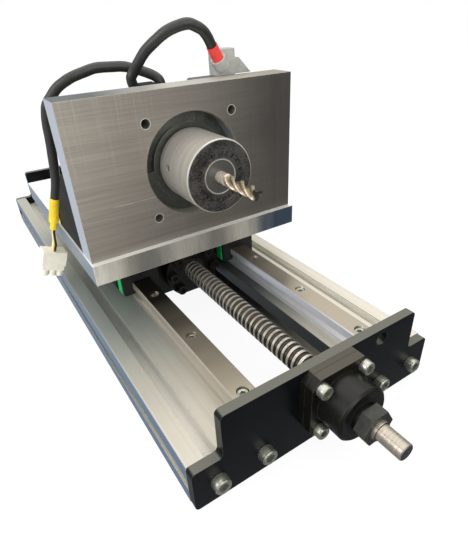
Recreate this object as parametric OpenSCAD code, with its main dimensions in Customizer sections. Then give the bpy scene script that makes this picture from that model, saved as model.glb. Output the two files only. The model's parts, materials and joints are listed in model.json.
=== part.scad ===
// Ball screw linear module with a milling spindle head on its saddle.
// X runs across the module, Y runs along the ball screw from the drive end to the rear, Z is up.
// The origin is on the floor, midway between the two sides and the two ends.

/* [Base profiles] */
// Length of the two aluminium profiles
base_len = 460; // [400:10:600]
// Width of one profile
profile_w = 60; // [58:1:70]
// Height of one profile, which is also the height of the end plates' wings
profile_h = 30; // [30:1:36]
// Clear gap between the two profiles
profile_gap = 62; // [60:1:90]
// Spacing of the two rows of slots in a profile
cell_pitch = 30; // [28:1:32]
// Width of a slot's mouth
slot_w = 8.2; // [6:0.1:8.4]
// Width of a slot behind its lips
slot_inner_w = 16.5; // [14:0.5:17]
// Thickness of a slot's lips
slot_lip = 2; // [1.5:0.1:2.4]
// Depth of a slot
slot_depth = 9; // [8:0.5:10]

/* [End plates] */
// Thickness of both end plates
plate_t = 6; // [5:0.5:10]
// Height of the end plates' middle section
plate_h = 60; // [60:1:70]
// Width of the end plates' middle section
plate_mid_w = 144; // [120:2:160]
// Corner radius of the end plates
plate_r = 3; // [1:0.5:5]
// Diameter of the spare hole in the drive end plate
spare_hole_d = 9; // [5:0.5:10]
// Distance of the spare hole from the middle
spare_hole_x = 42.5; // [38:0.5:55]
// Distance of the spare hole below the plate's top edge
spare_hole_drop = 7.5; // [7:0.5:12]

/* [Ball screw] */
// Height of the ball screw's axis
screw_z = 38; // [36:0.5:42]
// Outside diameter of the thread
screw_d = 15.6; // [14:0.1:15.8]
// Depth of the ball groove
groove_depth = 1.3; // [0.8:0.1:1.5]
// Lead of the thread, and its pitch
lead = 5; // [4:1:10]
// Diameter of the front bearing seat
seat_d = 12; // [10:0.5:12]
// Diameter of the drive journal
drive_d = 10; // [6:0.5:10]
// How far the drive journal stands out from the drive end plate
drive_reach = 55; // [50:1:75]
// Diameter of the rear journal
rear_d = 10; // [8:0.5:10]

/* [Front bearing unit] */
// Side of the square flange
unit_side = 44; // [42:0.5:46]
// Diameter to which the flange's corners are turned
unit_corner_d = 54; // [52:0.5:56]
// Thickness of the bearing cover against the end plate
cover_t = 4; // [3:0.5:6]
// Thickness of the housing's own flange
unit_flange_t = 6; // [5:0.5:10]
// Diameter of the housing's barrel
barrel_d = 35; // [34:0.5:35.5]
// Length of the whole unit from the end plate
unit_len = 27; // [26:0.5:32]
// Spacing of the four flange screws
unit_hole_pitch = 31.3; // [31.2:0.1:32]
// Outside diameter of a front bearing
bearing_d = 28; // [26:0.5:28]
// Width of one front bearing
bearing_w = 8; // [7:0.5:9]
// Outside diameter of the spacer collars
collar_d = 17; // [15:0.5:18]
// How far the front collar stands out of the housing
collar_out = 2.5; // [1:0.5:4]
// Width across the flats of the lock nut
lock_nut_af = 19; // [17:0.5:22]
// Thickness of the lock nut
lock_nut_t = 8; // [6:0.5:10]

/* [Rear bearing unit] */
// Side of the square flange
rear_side = 42; // [40:0.5:44]
// Thickness of the flange
rear_flange_t = 7; // [5:0.5:8]
// Diameter of the barrel
rear_barrel_d = 34; // [32:0.5:36]
// Length of the whole unit from the end plate
rear_unit_len = 15; // [14:0.5:20]
// Outside diameter of the rear bearing
rear_bearing_d = 26; // [24:0.5:26]
// Width of the rear bearing
rear_bearing_w = 8; // [7:0.5:9]

/* [Linear guides] */
// Width of a rail
rail_w = 15; // [14:0.5:16]
// Height of a rail
rail_h = 15; // [14:0.5:16]
// Spacing of the rail's screws
rail_pitch = 60; // [40:5:80]
// Distance of the first rail screw from the rail's front end
rail_first = 14; // [10:1:25]
// Width of a guide block
block_w = 34; // [32:1:36]
// Height of a guide block's top above the profile
block_top = 28; // [26:0.5:30]
// Clearance under a guide block
block_lift = 4.3; // [3:0.1:6]
// Length of a guide block's steel body
block_len = 39.4; // [34:0.2:50]
// Thickness of an end cap
cap_t = 8; // [6:0.5:10]
// Thickness of an end seal
seal_t = 3; // [2:0.5:4]
// Running clearance between a guide block and its rail
guide_gap = 0.3; // [0.2:0.05:0.5]

/* [Saddle] */
// Distance from the drive end plate's outer face to the saddle's front edge at rest
saddle_at = 138; // [130:1:150]
// Width of the saddle plate
saddle_w = 170; // [160:1:182]
// Length of the saddle plate
saddle_len = 210; // [200:1:240]
// Thickness of the saddle plate
saddle_t = 15; // [12:0.5:20]
// Thickness of the riser bars between the blocks and the saddle
riser_t = 10; // [8:0.5:14]
// Distance of the guide blocks from the saddle's front and rear edges
block_inset = 27; // [20:1:35]

/* [Ball nut] */
// Diameter of the ball nut's flange
nut_flange_d = 48; // [44:0.5:50]
// Thickness of the ball nut's flange
nut_flange_t = 10; // [8:0.5:12]
// Diameter of the ball nut's body
nut_body_d = 28; // [26:0.5:30]
// Length of the ball nut's body behind its flange
nut_body_len = 40; // [30:1:50]
// Pitch circle of the ball nut's screws
nut_pcd = 38; // [37:0.5:40]
// Width of the nut bracket
bracket_w = 54; // [50:1:56]
// Distance from the nut's axis to the bracket's underside
bracket_drop = 20; // [19:0.5:22]
// Running clearance between the ball nut and the screw
nut_gap = 0.3; // [0.2:0.05:0.5]

/* [Spindle head] */
// How far the spindle plate's sides stand in from the saddle's sides
head_inset = 1; // [0:0.5:10]
// Height of the spindle plate
head_h = 102; // [96:1:120]
// Thickness of the spindle plate
head_t = 20; // [16:0.5:25]
// How far the spindle plate stands behind the saddle's front edge
head_setback = 4.5; // [0:0.5:10]
// Height of the spindle's axis above the saddle
spindle_rise = 51; // [50:0.5:60]
// Diameter of the bore in the spindle plate
head_bore_d = 70; // [70:0.5:74]
// Chamfer of that bore
head_bore_chamfer = 1; // [0.5:0.5:2]
// Spacing of the four motor screws
motor_hole_pitch = 63.6; // [62:0.1:66]
// Thickness of the two gussets
gusset_t = 10; // [8:1:14]
// Length of a gusset along the saddle
gusset_len = 60; // [50:1:60]
// Height of a gusset
gusset_h = 55; // [45:1:80]

/* [Spindle motor] */
// Side of the square motor
motor_side = 80; // [78:1:84]
// Thickness of the motor's flange
motor_flange_t = 10; // [8:0.5:12]
// Length of the motor's body behind its flange
motor_len = 65; // [55:1:70]
// Side of the rear cover
motor_cover_side = 62; // [56:1:70]
// Length of the rear cover
motor_cover_len = 24; // [18:1:40]
// Distance of the motor's front ring behind the spindle plate's face
ring_setback = 7.5; // [5:0.5:10]
// Depth of the three ramps in that ring
ramp_depth = 5; // [3:0.5:6]
// Inner diameter of the ramps
ramp_inner_d = 55; // [52:1:60]
// Diameter of the motor's shaft
shaft_d = 19; // [14:1:19]

/* [Tool holder] */
// Diameter of the tool holder
holder_d = 48; // [40:1:50]
// Length of the tool holder
holder_len = 40; // [35:1:60]
// Gap between the tool holder and the motor's front ring
holder_gap = 2; // [1:0.5:4]
// Diameter of the clamping ring in the tool holder
clamp_ring_d = 34; // [30:1:36]
// Diameter of the collet's face
collet_d = 22; // [18:1:24]
// Diameter of the end mill
tool_d = 8; // [4:1:10]
// Length of the end mill's plain shank in front of the collet
tool_shank = 8; // [4:1:15]
// Length of the end mill's flutes
tool_flutes = 32; // [20:1:40]

/* [Cables] */
// Diameter of both cables
cable_d = 7; // [6:0.5:7.5]
// Length of the encoder cable's sleeve
encoder_sleeve_len = 14; // [12:0.5:15]
// Length of the power cable's sleeve
power_sleeve_len = 20; // [16:0.5:20]
// Width of the encoder cable's hood
hood_w = 17; // [15:0.5:20]
// Height of that hood
hood_h = 16.5; // [16:0.5:18]

/* [Hidden] */
$fn = 48;
eps = 0.01;

// Width of the spindle plate, which stands on the saddle between its sides
head_w = saddle_w - 2 * head_inset;

// Places along Y
front_y = drive_reach - (drive_reach + base_len + 2 * plate_t + rear_unit_len) / 2;
base_y0 = front_y + plate_t;
base_y1 = base_y0 + base_len;
rear_y = base_y1 + plate_t;
saddle_y0 = front_y + saddle_at;
saddle_y1 = saddle_y0 + saddle_len;
head_y0 = saddle_y0 + head_setback;
head_y1 = head_y0 + head_t;
motor_y1 = head_y1 + motor_flange_t + motor_len;
ring_y = head_y0 + ring_setback;
holder_y1 = ring_y - holder_gap;
holder_y0 = holder_y1 - holder_len;

// Places across and up
profile_x = profile_gap / 2 + profile_w / 2;
rail_x = profile_x - cell_pitch / 2;
outer_slot_x = profile_x + cell_pitch / 2;
base_w = profile_gap + 2 * profile_w;
rail_top = profile_h + rail_h;
block_z0 = profile_h + block_lift;
block_z1 = profile_h + block_top;
saddle_z0 = block_z1 + riser_t;
saddle_z1 = saddle_z0 + saddle_t;
spindle_z = saddle_z1 + spindle_rise;
head_z1 = saddle_z1 + head_h;

// Guide blocks
cap_len = cap_t + seal_t;
front_block_y = saddle_y0 + block_inset + cap_len;
rear_block_y = saddle_y1 - block_inset - cap_len - block_len;
block_ys = [front_block_y, rear_block_y];
block_hole_pitch = 26;
cap_drop = 1.5;
cap_inset = 1.2;

// Ball screw ends and thread
thread_y0 = base_y0 + 2;
thread_y1 = base_y1 - 10;
seat_y0 = front_y - unit_len - collar_out - lock_nut_t - 2;
rear_bearing_y0 = rear_y + 2;
rear_end_y = rear_bearing_y0 + rear_bearing_w + 2;
thread_steps = 12;
thread_run_in = 1.5;
thread_lands = [[0, 0], [0.2, 1], [0.58, 1], [0.78, 0]];

// Ball nut
nut_y0 = saddle_y0 + block_inset;
nut_y1 = nut_y0 + nut_flange_t + nut_body_len;
nut_bore_d = screw_d + 2 * nut_gap;
nut_hole_angles = [-45, 0, 45, 135, 180, 225];
wiper_t = 3;
wiper_d = 21;

// Front bearing unit
bearing_y0 = front_y - cover_t - 2 * bearing_w;
front_wall = unit_len - cover_t - 2 * bearing_w;
collar_gap = 0.3;
seal_bore_d = collar_d + 2 * collar_gap;
seal_d = 24;
unit_seal_t = 3;
ball_d = 4.2;
balls_per_row = 9;
rear_ball_d = 3.6;
rear_balls = 8;
ball_gap = 0.3;
circlip_t = 1;

// Fasteners: nominal diameters and lengths
m4 = 4;
m5 = 5;
m6 = 6;
hole_gap = 0.1;
clear_gap = 0.5;

// Cables: points measured from the top edge of the motor's front and from the saddle's left edge
cable_sides = 10;
motor_top = [0, head_y1, spindle_z + motor_side / 2];
saddle_edge = [-saddle_w / 2, head_y1, saddle_z1];
body_top_z = spindle_z + (motor_side - 1) / 2;
encoder_route = [for (p = [
    [-18, 26, 4], [-18, 26, 6], [-19.5, 25, 10], [-20, 24, 13.5], [-18, 22, 17.5], [-16, 18.5, 22],
    [-12, 13.5, 29], [-6.5, 7.5, 35], [-0.5, 2.5, 40], [6.5, -1.5, 43], [12.5, -4, 44],
    [17, -5, 42.5], [21.5, -5.5, 40], [25.5, -4.5, 36], [29.5, -2.5, 30.5]
]) motor_top + p];
power_route = concat(
    [for (p = [
        [3, 28, 5], [3, 28, 7], [2, 29, 10], [-1.5, 32.5, 13], [-9.5, 37.5, 16.5], [-18, 40.5, 19],
        [-27, 42.5, 19.5], [-37, 44.5, 19.5], [-45, 46.5, 17.5], [-53, 48.5, 15], [-59, 50.5, 12],
        [-64, 52.5, 8.5], [-69, 54.5, 3], [-72.5, 56.5, -2], [-74, 58.5, -8.5]
    ]) motor_top + p],
    [for (p = [
        [10, 59.5, 75], [9.5, 60, 66], [8.5, 61, 55], [7.5, 62, 44], [6, 63, 33], [2.5, 64, 20.5]
    ]) saddle_edge + p]
);
power_collar_len = 6;
power_collar_d = 5.6;
wire_d = 1.8;
wire_pitch = 1.9;
wire_gap = 0.3;
plug_top = saddle_edge + [-9, 66, -22];
plug_tilt = 21;
plug_size = [18.5, 14, 21];
cell_d = 5.6;
hood_place = motor_top + [34.5, 1.5, 11];
hood_depth = 12.5;

// ---------- helpers ----------

// Gives its flat child a length along Y, starting at y; the child's Y becomes Z
module extrude_y(y, len)
    translate([0, y + len, 0]) rotate([90, 0, 0]) linear_extrude(height = len) children();

// Cylinder along Y starting at y
module rod_y(y, len, d)
    translate([0, y, 0]) rotate([-90, 0, 0]) cylinder(h = len, d = d);

// Ring along Y starting at y
module ring_y(y, len, d, bore)
    difference() {
        rod_y(y, len, d);
        rod_y(y - eps, len + 2 * eps, bore);
    }

// Places a copy of the child at each side of the middle, mirrored
module both_sides() {
    children();
    mirror([1, 0, 0]) children();
}

// Places a copy at each corner of a square pattern in the XZ plane
module square_pattern(pitch)
    for (x = [-pitch / 2, pitch / 2], z = [-pitch / 2, pitch / 2])
        translate([x, 0, z]) children();

// Flat rectangle with exact round corners, from its bottom left corner
module round_rect(w, h, r) {
    translate([r, 0]) square([w - 2 * r, h]);
    translate([0, r]) square([w, h - 2 * r]);
    for (x = [r, w - r], y = [r, h - r]) translate([x, y]) circle(r);
}

// Box with exact round corners in plan, centred in X and Z, along Y
module round_bar_y(y, len, side, r)
    extrude_y(y, len) translate([-side / 2, -side / 2]) round_rect(side, side, r);

// Socket head screw: its head stands on z = 0 and its shank points down
module cap_screw(d, len) {
    head_d = 1.5 * d + 1;
    difference() {
        union() {
            cylinder(h = d, d = head_d);
            translate([0, 0, -len]) cylinder(h = len + eps, d = d);
        }
        translate([0, 0, d / 2]) cylinder(h = d, d = (d - 1) / cos(30), $fn = 6);
    }
}

// The same with its head towards the drive end, seated at y
module screw_to_front(y, d, len) translate([0, y, 0]) rotate([90, 0, 0]) cap_screw(d, len);

// The same with its head towards the rear end, seated at y
module screw_to_rear(y, d, len) translate([0, y, 0]) rotate([-90, 0, 0]) cap_screw(d, len);

// Clearance hole with a counterbore, mouth at z = 0, going down
module counterbore(d, depth, len) {
    translate([0, 0, -depth]) cylinder(h = depth + eps, d = 1.5 * d + 2);
    translate([0, 0, -len - eps]) cylinder(h = len + eps, d = d + clear_gap);
}

// Ball race ring section: ring with a groove for balls on the pitch diameter
module race_ring(y, w, d, bore, pitch_d, groove_d)
    difference() {
        ring_y(y, w, d, bore);
        translate([0, y + w / 2, 0]) rotate([-90, 0, 0])
            rotate_extrude() translate([pitch_d / 2, 0]) circle(d = groove_d, $fn = 24);
    }

// Row of balls round Y
module ball_row(y, pitch_d, d, count)
    for (i = [0 : count - 1])
        rotate([0, i * 360 / count, 0]) translate([pitch_d / 2, y, 0]) sphere(d = d, $fn = 24);

// Tube swept through the points of a route, each ring square to the route
function unit(v) = v / norm(v);
function heading(p, i) = unit(p[min(i + 1, len(p) - 1)] - p[max(i - 1, 0)]);
function side_of(v) = unit(cross(v, [0.13, 1, 0.07]));
function tube_ring(p, i, d, n) =
    let (v = heading(p, i), a = side_of(v), b = cross(v, a))
    [for (k = [0 : n - 1]) p[i] + d / 2 * (cos(360 * k / n) * a + sin(360 * k / n) * b)];
function end_heading(p) = heading(p, len(p) - 1);
function past_end(p, reach) = p[len(p) - 1] + reach * end_heading(p);
module tube(p, d, n = cable_sides) {
    last = len(p) - 1;
    rings = [for (i = [0 : last]) each tube_ring(p, i, d, n)];
    walls = [for (i = [0 : last - 1], k = [0 : n - 1])
        let (j = (k + 1) % n)
        each [[i * n + k, (i + 1) * n + k, (i + 1) * n + j], [i * n + k, (i + 1) * n + j, i * n + j]]];
    caps = [[for (k = [0 : n - 1]) k], [for (k = [n - 1 : -1 : 0]) last * n + k]];
    polyhedron(rings, concat(walls, caps));
}

// ---------- base: profiles and end plates ----------

// Section of one slot, mouth upwards at the origin
module slot_section()
    polygon([
        [-slot_w / 2, eps], [slot_w / 2, eps], [slot_w / 2, -slot_lip],
        [slot_inner_w / 2, -slot_lip], [slot_inner_w / 2, -slot_lip - 2],
        [slot_w / 2 - 0.6, -slot_depth], [0.6 - slot_w / 2, -slot_depth],
        [-slot_inner_w / 2, -slot_lip - 2], [-slot_inner_w / 2, -slot_lip],
        [-slot_w / 2, -slot_lip]
    ]);

// Section of a profile, standing on the origin
module profile_section() {
    web = 2.5;
    difference() {
        translate([-profile_w / 2, 0]) round_rect(profile_w, profile_h, 1.2);
        for (x = [-cell_pitch / 2, cell_pitch / 2]) {
            translate([x, profile_h]) slot_section();
            translate([x, 0]) rotate(180) slot_section();
            translate([x, profile_h / 2]) circle(d = m6 + hole_gap);
        }
        translate([profile_w / 2, profile_h / 2]) rotate(-90) slot_section();
        translate([-profile_w / 2, profile_h / 2]) rotate(90) slot_section();
        translate([0, profile_h / 2])
            square([cell_pitch - slot_inner_w - 2 * web, profile_h - 4 * web], center = true);
    }
}

module profile(side)
    translate([side * profile_x, 0, 0]) extrude_y(base_y0, base_len) profile_section();

module left_profile() color("lightgray") profile(-1);
module right_profile() color("lightgray") profile(1);

// Outline of an end plate, with a raised middle section between two wings
module end_plate_outline() {
    translate([-base_w / 2, 0]) round_rect(base_w, profile_h, plate_r);
    translate([-plate_mid_w / 2, 0]) round_rect(plate_mid_w, plate_h, plate_r);
    both_sides()
        translate([plate_mid_w / 2 - eps, profile_h - eps])
            difference() {
                square(plate_r);
                translate([plate_r, plate_r]) circle(plate_r);
            }
}

// Holes for the four screws into the profiles' cores
module profile_screw_places()
    for (side = [-1, 1], x = [rail_x, outer_slot_x])
        translate([side * x, 0, profile_h / 2]) children();

module end_plate(y, bore, unit_pitch, unit_screw)
    difference() {
        extrude_y(y, plate_t) end_plate_outline();
        profile_screw_places() rod_y(y - eps, plate_t + 2 * eps, m6 + clear_gap);
        translate([0, 0, screw_z]) {
            rod_y(y - eps, plate_t + 2 * eps, bore);
            square_pattern(unit_pitch) rod_y(y - eps, plate_t + 2 * eps, unit_screw + hole_gap);
        }
    }

module drive_end_plate()
    color([0.06, 0.09, 0.13]) difference() {
        end_plate(front_y, seal_d, unit_hole_pitch, m5);
        translate([spare_hole_x, 0, plate_h - spare_hole_drop])
            rod_y(front_y - eps, plate_t + 2 * eps, spare_hole_d);
    }

rear_hole_pitch = rear_side - 12;
module rear_end_plate()
    color([0.06, 0.09, 0.13]) end_plate(base_y1, rear_d + 4, rear_hole_pitch, m4);

module end_plate_screws()
    color("silver") profile_screw_places() {
        screw_to_front(front_y, m6, 22);
        screw_to_rear(rear_y, m6, 22);
    }

// ---------- base: linear guides ----------

// Section of a rail standing on the origin, grown all round by a clearance
module rail_section(gap = 0) {
    foot = rail_w / 2 + gap;
    waist = rail_w / 2 - 2.2 + gap;
    polygon([
        [-foot, 0], [foot, 0], [foot, 4], [waist, 6.2], [waist, 8.6 - gap], [foot, 10 - gap],
        [foot, rail_h - 0.8], [foot - 0.8, rail_h + gap], [0.8 - foot, rail_h + gap],
        [-foot, rail_h - 0.8], [-foot, 10 - gap], [-waist, 8.6 - gap], [-waist, 6.2], [-foot, 4]
    ]);
}

rail_screw_count = floor((base_len - rail_first - 8) / rail_pitch) + 1;
module rail_screw_places()
    for (i = [0 : rail_screw_count - 1])
        translate([0, base_y0 + rail_first + i * rail_pitch, 0]) children();

rail_bore_depth = 5.3;
module rail(side)
    translate([side * rail_x, 0, 0]) difference() {
        translate([0, 0, profile_h]) extrude_y(base_y0, base_len) rail_section();
        rail_screw_places() translate([0, 0, rail_top]) {
            translate([0, 0, -rail_bore_depth]) cylinder(h = rail_bore_depth + eps, d = 7.5);
            translate([0, 0, -rail_h - eps]) cylinder(h = rail_h, d = m4 + clear_gap);
        }
    }

module left_rail() color("silver") rail(-1);
module right_rail() color("silver") rail(1);

slot_nut_t = 4;
rail_screw_len = rail_h - rail_bore_depth + slot_lip + slot_nut_t - 0.5;
module rail_screws()
    color("dimgray") for (side = [-1, 1])
        translate([side * rail_x, 0, rail_top - rail_bore_depth])
            rail_screw_places() cap_screw(m4, rail_screw_len);

module rail_slot_nuts()
    color("silver") for (side = [-1, 1])
        translate([side * rail_x, 0, profile_h - slot_lip])
            rail_screw_places() difference() {
                union() {
                    translate([1 - slot_inner_w / 2, -5, -2]) cube([slot_inner_w - 2, 10, 2]);
                    translate([0.4 - slot_w / 2, -5, -slot_nut_t])
                        cube([slot_w - 0.8, 10, slot_nut_t + slot_lip - 0.3]);
                }
                translate([0, 0, -slot_nut_t - eps]) cylinder(h = 10, d = m4 + hole_gap);
            }

// ---------- base: front bearing unit ----------

module unit_outline()
    intersection() {
        square(unit_side, center = true);
        circle(d = unit_corner_d);
    }

module bearing_cover()
    color([0.1, 0.1, 0.11]) translate([0, 0, screw_z]) difference() {
        extrude_y(front_y - cover_t, cover_t) unit_outline();
        rod_y(front_y - cover_t - eps, cover_t + 2 * eps, seal_bore_d);
        rod_y(front_y - unit_seal_t, unit_seal_t + eps, seal_d);
        square_pattern(unit_hole_pitch)
            rod_y(front_y - cover_t - eps, cover_t + 2 * eps, m5 + clear_gap);
    }

module bearing_housing()
    color([0.12, 0.12, 0.13]) translate([0, 0, screw_z]) difference() {
        union() {
            extrude_y(front_y - cover_t - unit_flange_t, unit_flange_t) unit_outline();
            translate([0, front_y - cover_t, 0]) rotate([90, 0, 0]) rotate_extrude()
                polygon([
                    [0, 0], [barrel_d / 2, 0], [barrel_d / 2, unit_len - cover_t - 1.5],
                    [barrel_d / 2 - 1.5, unit_len - cover_t], [0, unit_len - cover_t]
                ]);
        }
        rod_y(bearing_y0, 2 * bearing_w + eps, bearing_d);
        rod_y(front_y - unit_len - eps, front_wall + 1, seal_bore_d);
        rod_y(front_y - unit_len - eps, unit_seal_t, seal_d);
        square_pattern(unit_hole_pitch)
            rod_y(front_y - cover_t - unit_flange_t - eps, unit_flange_t + 2 * eps, m5 + clear_gap);
    }

bearing_pitch_d = (bearing_d + seat_d) / 2;
race_wall = 3.4;
module bearing_outer_rings()
    color("silver") translate([0, 0, screw_z]) for (i = [0, 1])
        race_ring(bearing_y0 + i * bearing_w, bearing_w, bearing_d, bearing_d - race_wall,
            bearing_pitch_d, ball_d + 0.1);

module bearing_inner_rings()
    color("silver") translate([0, 0, screw_z]) for (i = [0, 1])
        race_ring(bearing_y0 + i * bearing_w, bearing_w, seat_d + race_wall, seat_d,
            bearing_pitch_d, ball_d + 2 * ball_gap);

module bearing_balls()
    color("white") translate([0, 0, screw_z]) for (i = [0, 1])
        ball_row(bearing_y0 + (i + 0.5) * bearing_w, bearing_pitch_d, ball_d, balls_per_row);

module bearing_unit_screws()
    color("silver") translate([0, 0, screw_z]) square_pattern(unit_hole_pitch)
        screw_to_front(front_y - cover_t - unit_flange_t, m5, cover_t + unit_flange_t + plate_t - 1);

module shaft_seals()
    color([0.2, 0.1, 0.08]) translate([0, 0, screw_z]) {
        ring_y(front_y - unit_len, unit_seal_t - eps, seal_d, seal_bore_d);
        ring_y(front_y - unit_seal_t, unit_seal_t, seal_d, seal_bore_d);
    }

// ---------- base: rear bearing unit ----------

module rear_bearing_housing()
    color([0.12, 0.12, 0.13]) translate([0, 0, screw_z]) difference() {
        union() {
            round_bar_y(rear_y, rear_flange_t, rear_side, 5);
            rod_y(rear_y, rear_unit_len, rear_barrel_d);
        }
        rod_y(rear_bearing_y0, rear_unit_len, rear_bearing_d);
        rod_y(rear_y - eps, rear_unit_len, rear_d + 4);
        square_pattern(rear_hole_pitch) rod_y(rear_y - eps, rear_flange_t + 2 * eps, m4 + clear_gap);
    }

rear_pitch_d = (rear_bearing_d + rear_d) / 2;
module rear_bearing_outer_ring()
    color("silver") translate([0, 0, screw_z])
        race_ring(rear_bearing_y0, rear_bearing_w, rear_bearing_d, rear_bearing_d - race_wall,
            rear_pitch_d, rear_ball_d + 0.1);

module rear_bearing_inner_ring()
    color("silver") translate([0, 0, screw_z])
        race_ring(rear_bearing_y0, rear_bearing_w, rear_d + race_wall, rear_d,
            rear_pitch_d, rear_ball_d + 2 * ball_gap);

module rear_bearing_balls()
    color("white") translate([0, 0, screw_z])
        ball_row(rear_bearing_y0 + rear_bearing_w / 2, rear_pitch_d, rear_ball_d, rear_balls);

module rear_unit_screws()
    color("silver") translate([0, 0, screw_z]) square_pattern(rear_hole_pitch)
        screw_to_rear(rear_y + rear_flange_t, m4, rear_flange_t + plate_t - 1);

// ---------- ball screw ----------

// Shaft ends: drive journal, lock nut thread and bearing seat in front, plain journal behind
module ball_screw()
    color("silver") translate([0, 0, screw_z]) {
        rod_y(front_y - drive_reach + 0.5, drive_reach, drive_d);
        rod_y(seat_y0, thread_y0 - seat_y0, seat_d);
        translate([0, front_y - drive_reach, 0]) rotate([-90, 0, 0])
            cylinder(h = 0.5 + eps, d1 = drive_d - 1, d2 = drive_d);
        difference() {
            rod_y(thread_y1, rear_end_y - thread_y1, rear_d);
            ring_y(rear_bearing_y0 + rear_bearing_w, circlip_t, rear_d + 1, rear_d - 0.8);
        }
    }

// Point of the helical grid: step k round the helix, land j of the thread's section
root_r = screw_d / 2 - groove_depth;
function thread_point(k, j) =
    let (a = 360 * k / thread_steps, land = thread_lands[j], r = root_r + land[1] * groove_depth)
    [r * cos(a), r * sin(a), thread_run_in + lead * (k / thread_steps + land[0])];

// Right-handed ball thread along z, closed by a plain disc at each end
module ball_thread(len) {
    n = thread_steps;
    m = len(thread_lands);
    last = n * floor((len - 2 * thread_run_in) / lead);
    disc_r = root_r - 0.5;
    first_disc = (last + 1) * m;
    end_disc = first_disc + n;
    grid = [for (k = [0 : last], j = [0 : m - 1]) thread_point(k, j)];
    disc = [for (z = [0, len], k = [0 : n - 1]) [disc_r * cos(360 * k / n), disc_r * sin(360 * k / n), z]];
    walls = [for (k = [0 : last - n - 1], j = [0 : m - 1])
        let (a = k * m + j, b = j < m - 1 ? a + 1 : (k + n) * m)
        each [[a, b, b + m], [a, b + m, a + m]]];
    run_in = [for (k = [0 : n - 1])
        let (c = first_disc + k, d = first_disc + (k + 1) % n)
        each [[c, k * m, (k + 1) * m], [c, (k + 1) * m, d]]];
    run_out = [for (k = [0 : n - 1])
        let (a = (last - n + k) * m, c = end_disc + k, d = end_disc + (k + 1) % n)
        each [[a, c, d], [a, d, a + m]]];
    first_step = [concat([first_disc], [n * m], [for (j = [m - 1 : -1 : 0]) j])];
    end_step = [concat([end_disc], [for (j = [0 : m - 1]) (last - n) * m + j], [last * m])];
    discs = [[for (k = [0 : n - 1]) first_disc + k], [for (k = [n - 1 : -1 : 0]) end_disc + k]];
    polyhedron(concat(grid, disc), concat(walls, run_in, run_out, first_step, end_step, discs));
}

module screw_thread()
    color("silver") translate([0, thread_y0, screw_z]) rotate([-90, 0, 0])
        ball_thread(thread_y1 - thread_y0);

module spacer_collars()
    color("dimgray") translate([0, 0, screw_z]) {
        ring_y(front_y - cover_t, cover_t + thread_y0 - front_y, collar_d, seat_d);
        ring_y(front_y - unit_len - collar_out, front_wall + collar_out, collar_d, seat_d);
    }

module lock_nut()
    color([0.15, 0.15, 0.16]) translate([0, front_y - unit_len - collar_out, screw_z])
        rotate([90, 0, 0]) difference() {
            cylinder(h = lock_nut_t, d = lock_nut_af / cos(30), $fn = 6);
            translate([0, 0, -eps]) cylinder(h = lock_nut_t + 2 * eps, d = seat_d);
        }

module rear_circlip()
    color("dimgray") translate([0, 0, screw_z])
        ring_y(rear_bearing_y0 + rear_bearing_w, circlip_t, rear_d + 4, rear_d - 0.8);

// ---------- carriage: saddle on four guide blocks ----------

// Half section of a guide block's steel body, with relieved flanks and chamfered edges
block_relief = 0.8;
module block_half_section() {
    flank = block_w / 2;
    polygon([
        [0, block_z0], [flank - 3, block_z0], [flank - 1, block_z0 + 2], [flank, block_z0 + 4],
        [flank, block_z0 + 11], [flank - block_relief, block_z0 + 12],
        [flank - block_relief, block_z1 - 1.5], [flank - block_relief - 1, block_z1], [0, block_z1]
    ]);
}

module guide_block(side, y)
    translate([side * rail_x, 0, 0]) difference() {
        extrude_y(y, block_len) {
            block_half_section();
            mirror([1, 0]) block_half_section();
        }
        translate([0, 0, profile_h]) extrude_y(y - eps, block_len + 2 * eps) rail_section(guide_gap);
        block_screw_places(y) translate([0, 0, -6]) cylinder(h = 6 + eps, d = m4 + hole_gap);
    }

// The four screw places on top of a block that starts at y
module block_screw_places(y)
    for (x = [-0.5, 0.5], j = [-0.5, 0.5])
        translate([x * block_hole_pitch, y + block_len / 2 + j * block_hole_pitch, block_z1]) children();

module front_left_block() color("dimgray") guide_block(-1, front_block_y);
module front_right_block() color("dimgray") guide_block(1, front_block_y);
module rear_left_block() color("dimgray") guide_block(-1, rear_block_y);
module rear_right_block() color("dimgray") guide_block(1, rear_block_y);

// Plate of an end cap or seal round the rail, from y
module cap_plate(y, t, inset)
    difference() {
        extrude_y(y, t)
            translate([inset - block_w / 2, block_z0 + 0.4])
                round_rect(block_w - 2 * inset, block_z1 - cap_drop - block_z0 - 0.4, 2);
        translate([0, 0, profile_h]) extrude_y(y - eps, t + 2 * eps) rail_section(guide_gap + 0.1);
    }

module block_end_caps()
    color([0.07, 0.75, 0.38]) for (side = [-1, 1], y = block_ys)
        translate([side * rail_x, 0, 0]) {
            cap_plate(y - cap_t, cap_t, cap_inset);
            cap_plate(y + block_len, cap_t, cap_inset);
        }

module block_end_seals()
    color([0.08, 0.08, 0.09]) for (side = [-1, 1], y = block_ys)
        translate([side * rail_x, 0, 0]) {
            cap_plate(y - cap_len, seal_t, cap_inset + 0.6);
            cap_plate(y + block_len + cap_t, seal_t, cap_inset + 0.6);
        }

// Two bars that carry the saddle on the blocks
module riser_bars()
    color("silver") for (side = [-1, 1]) difference() {
        translate([side * rail_x - block_w / 2, front_block_y, block_z1])
            cube([block_w, rear_block_y + block_len - front_block_y, riser_t]);
        translate([side * rail_x, 0, riser_t]) for (y = block_ys)
            block_screw_places(y) counterbore(m4, 5, riser_t);
        riser_screw_places(side) translate([0, 0, -8 - saddle_t]) cylinder(h = 8 + eps, d = m5 + hole_gap);
    }

module block_screws()
    color("dimgray") for (side = [-1, 1], y = block_ys)
        translate([side * rail_x, 0, riser_t - 5]) block_screw_places(y) cap_screw(m4, riser_t);

riser_screw_in = 46;
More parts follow.
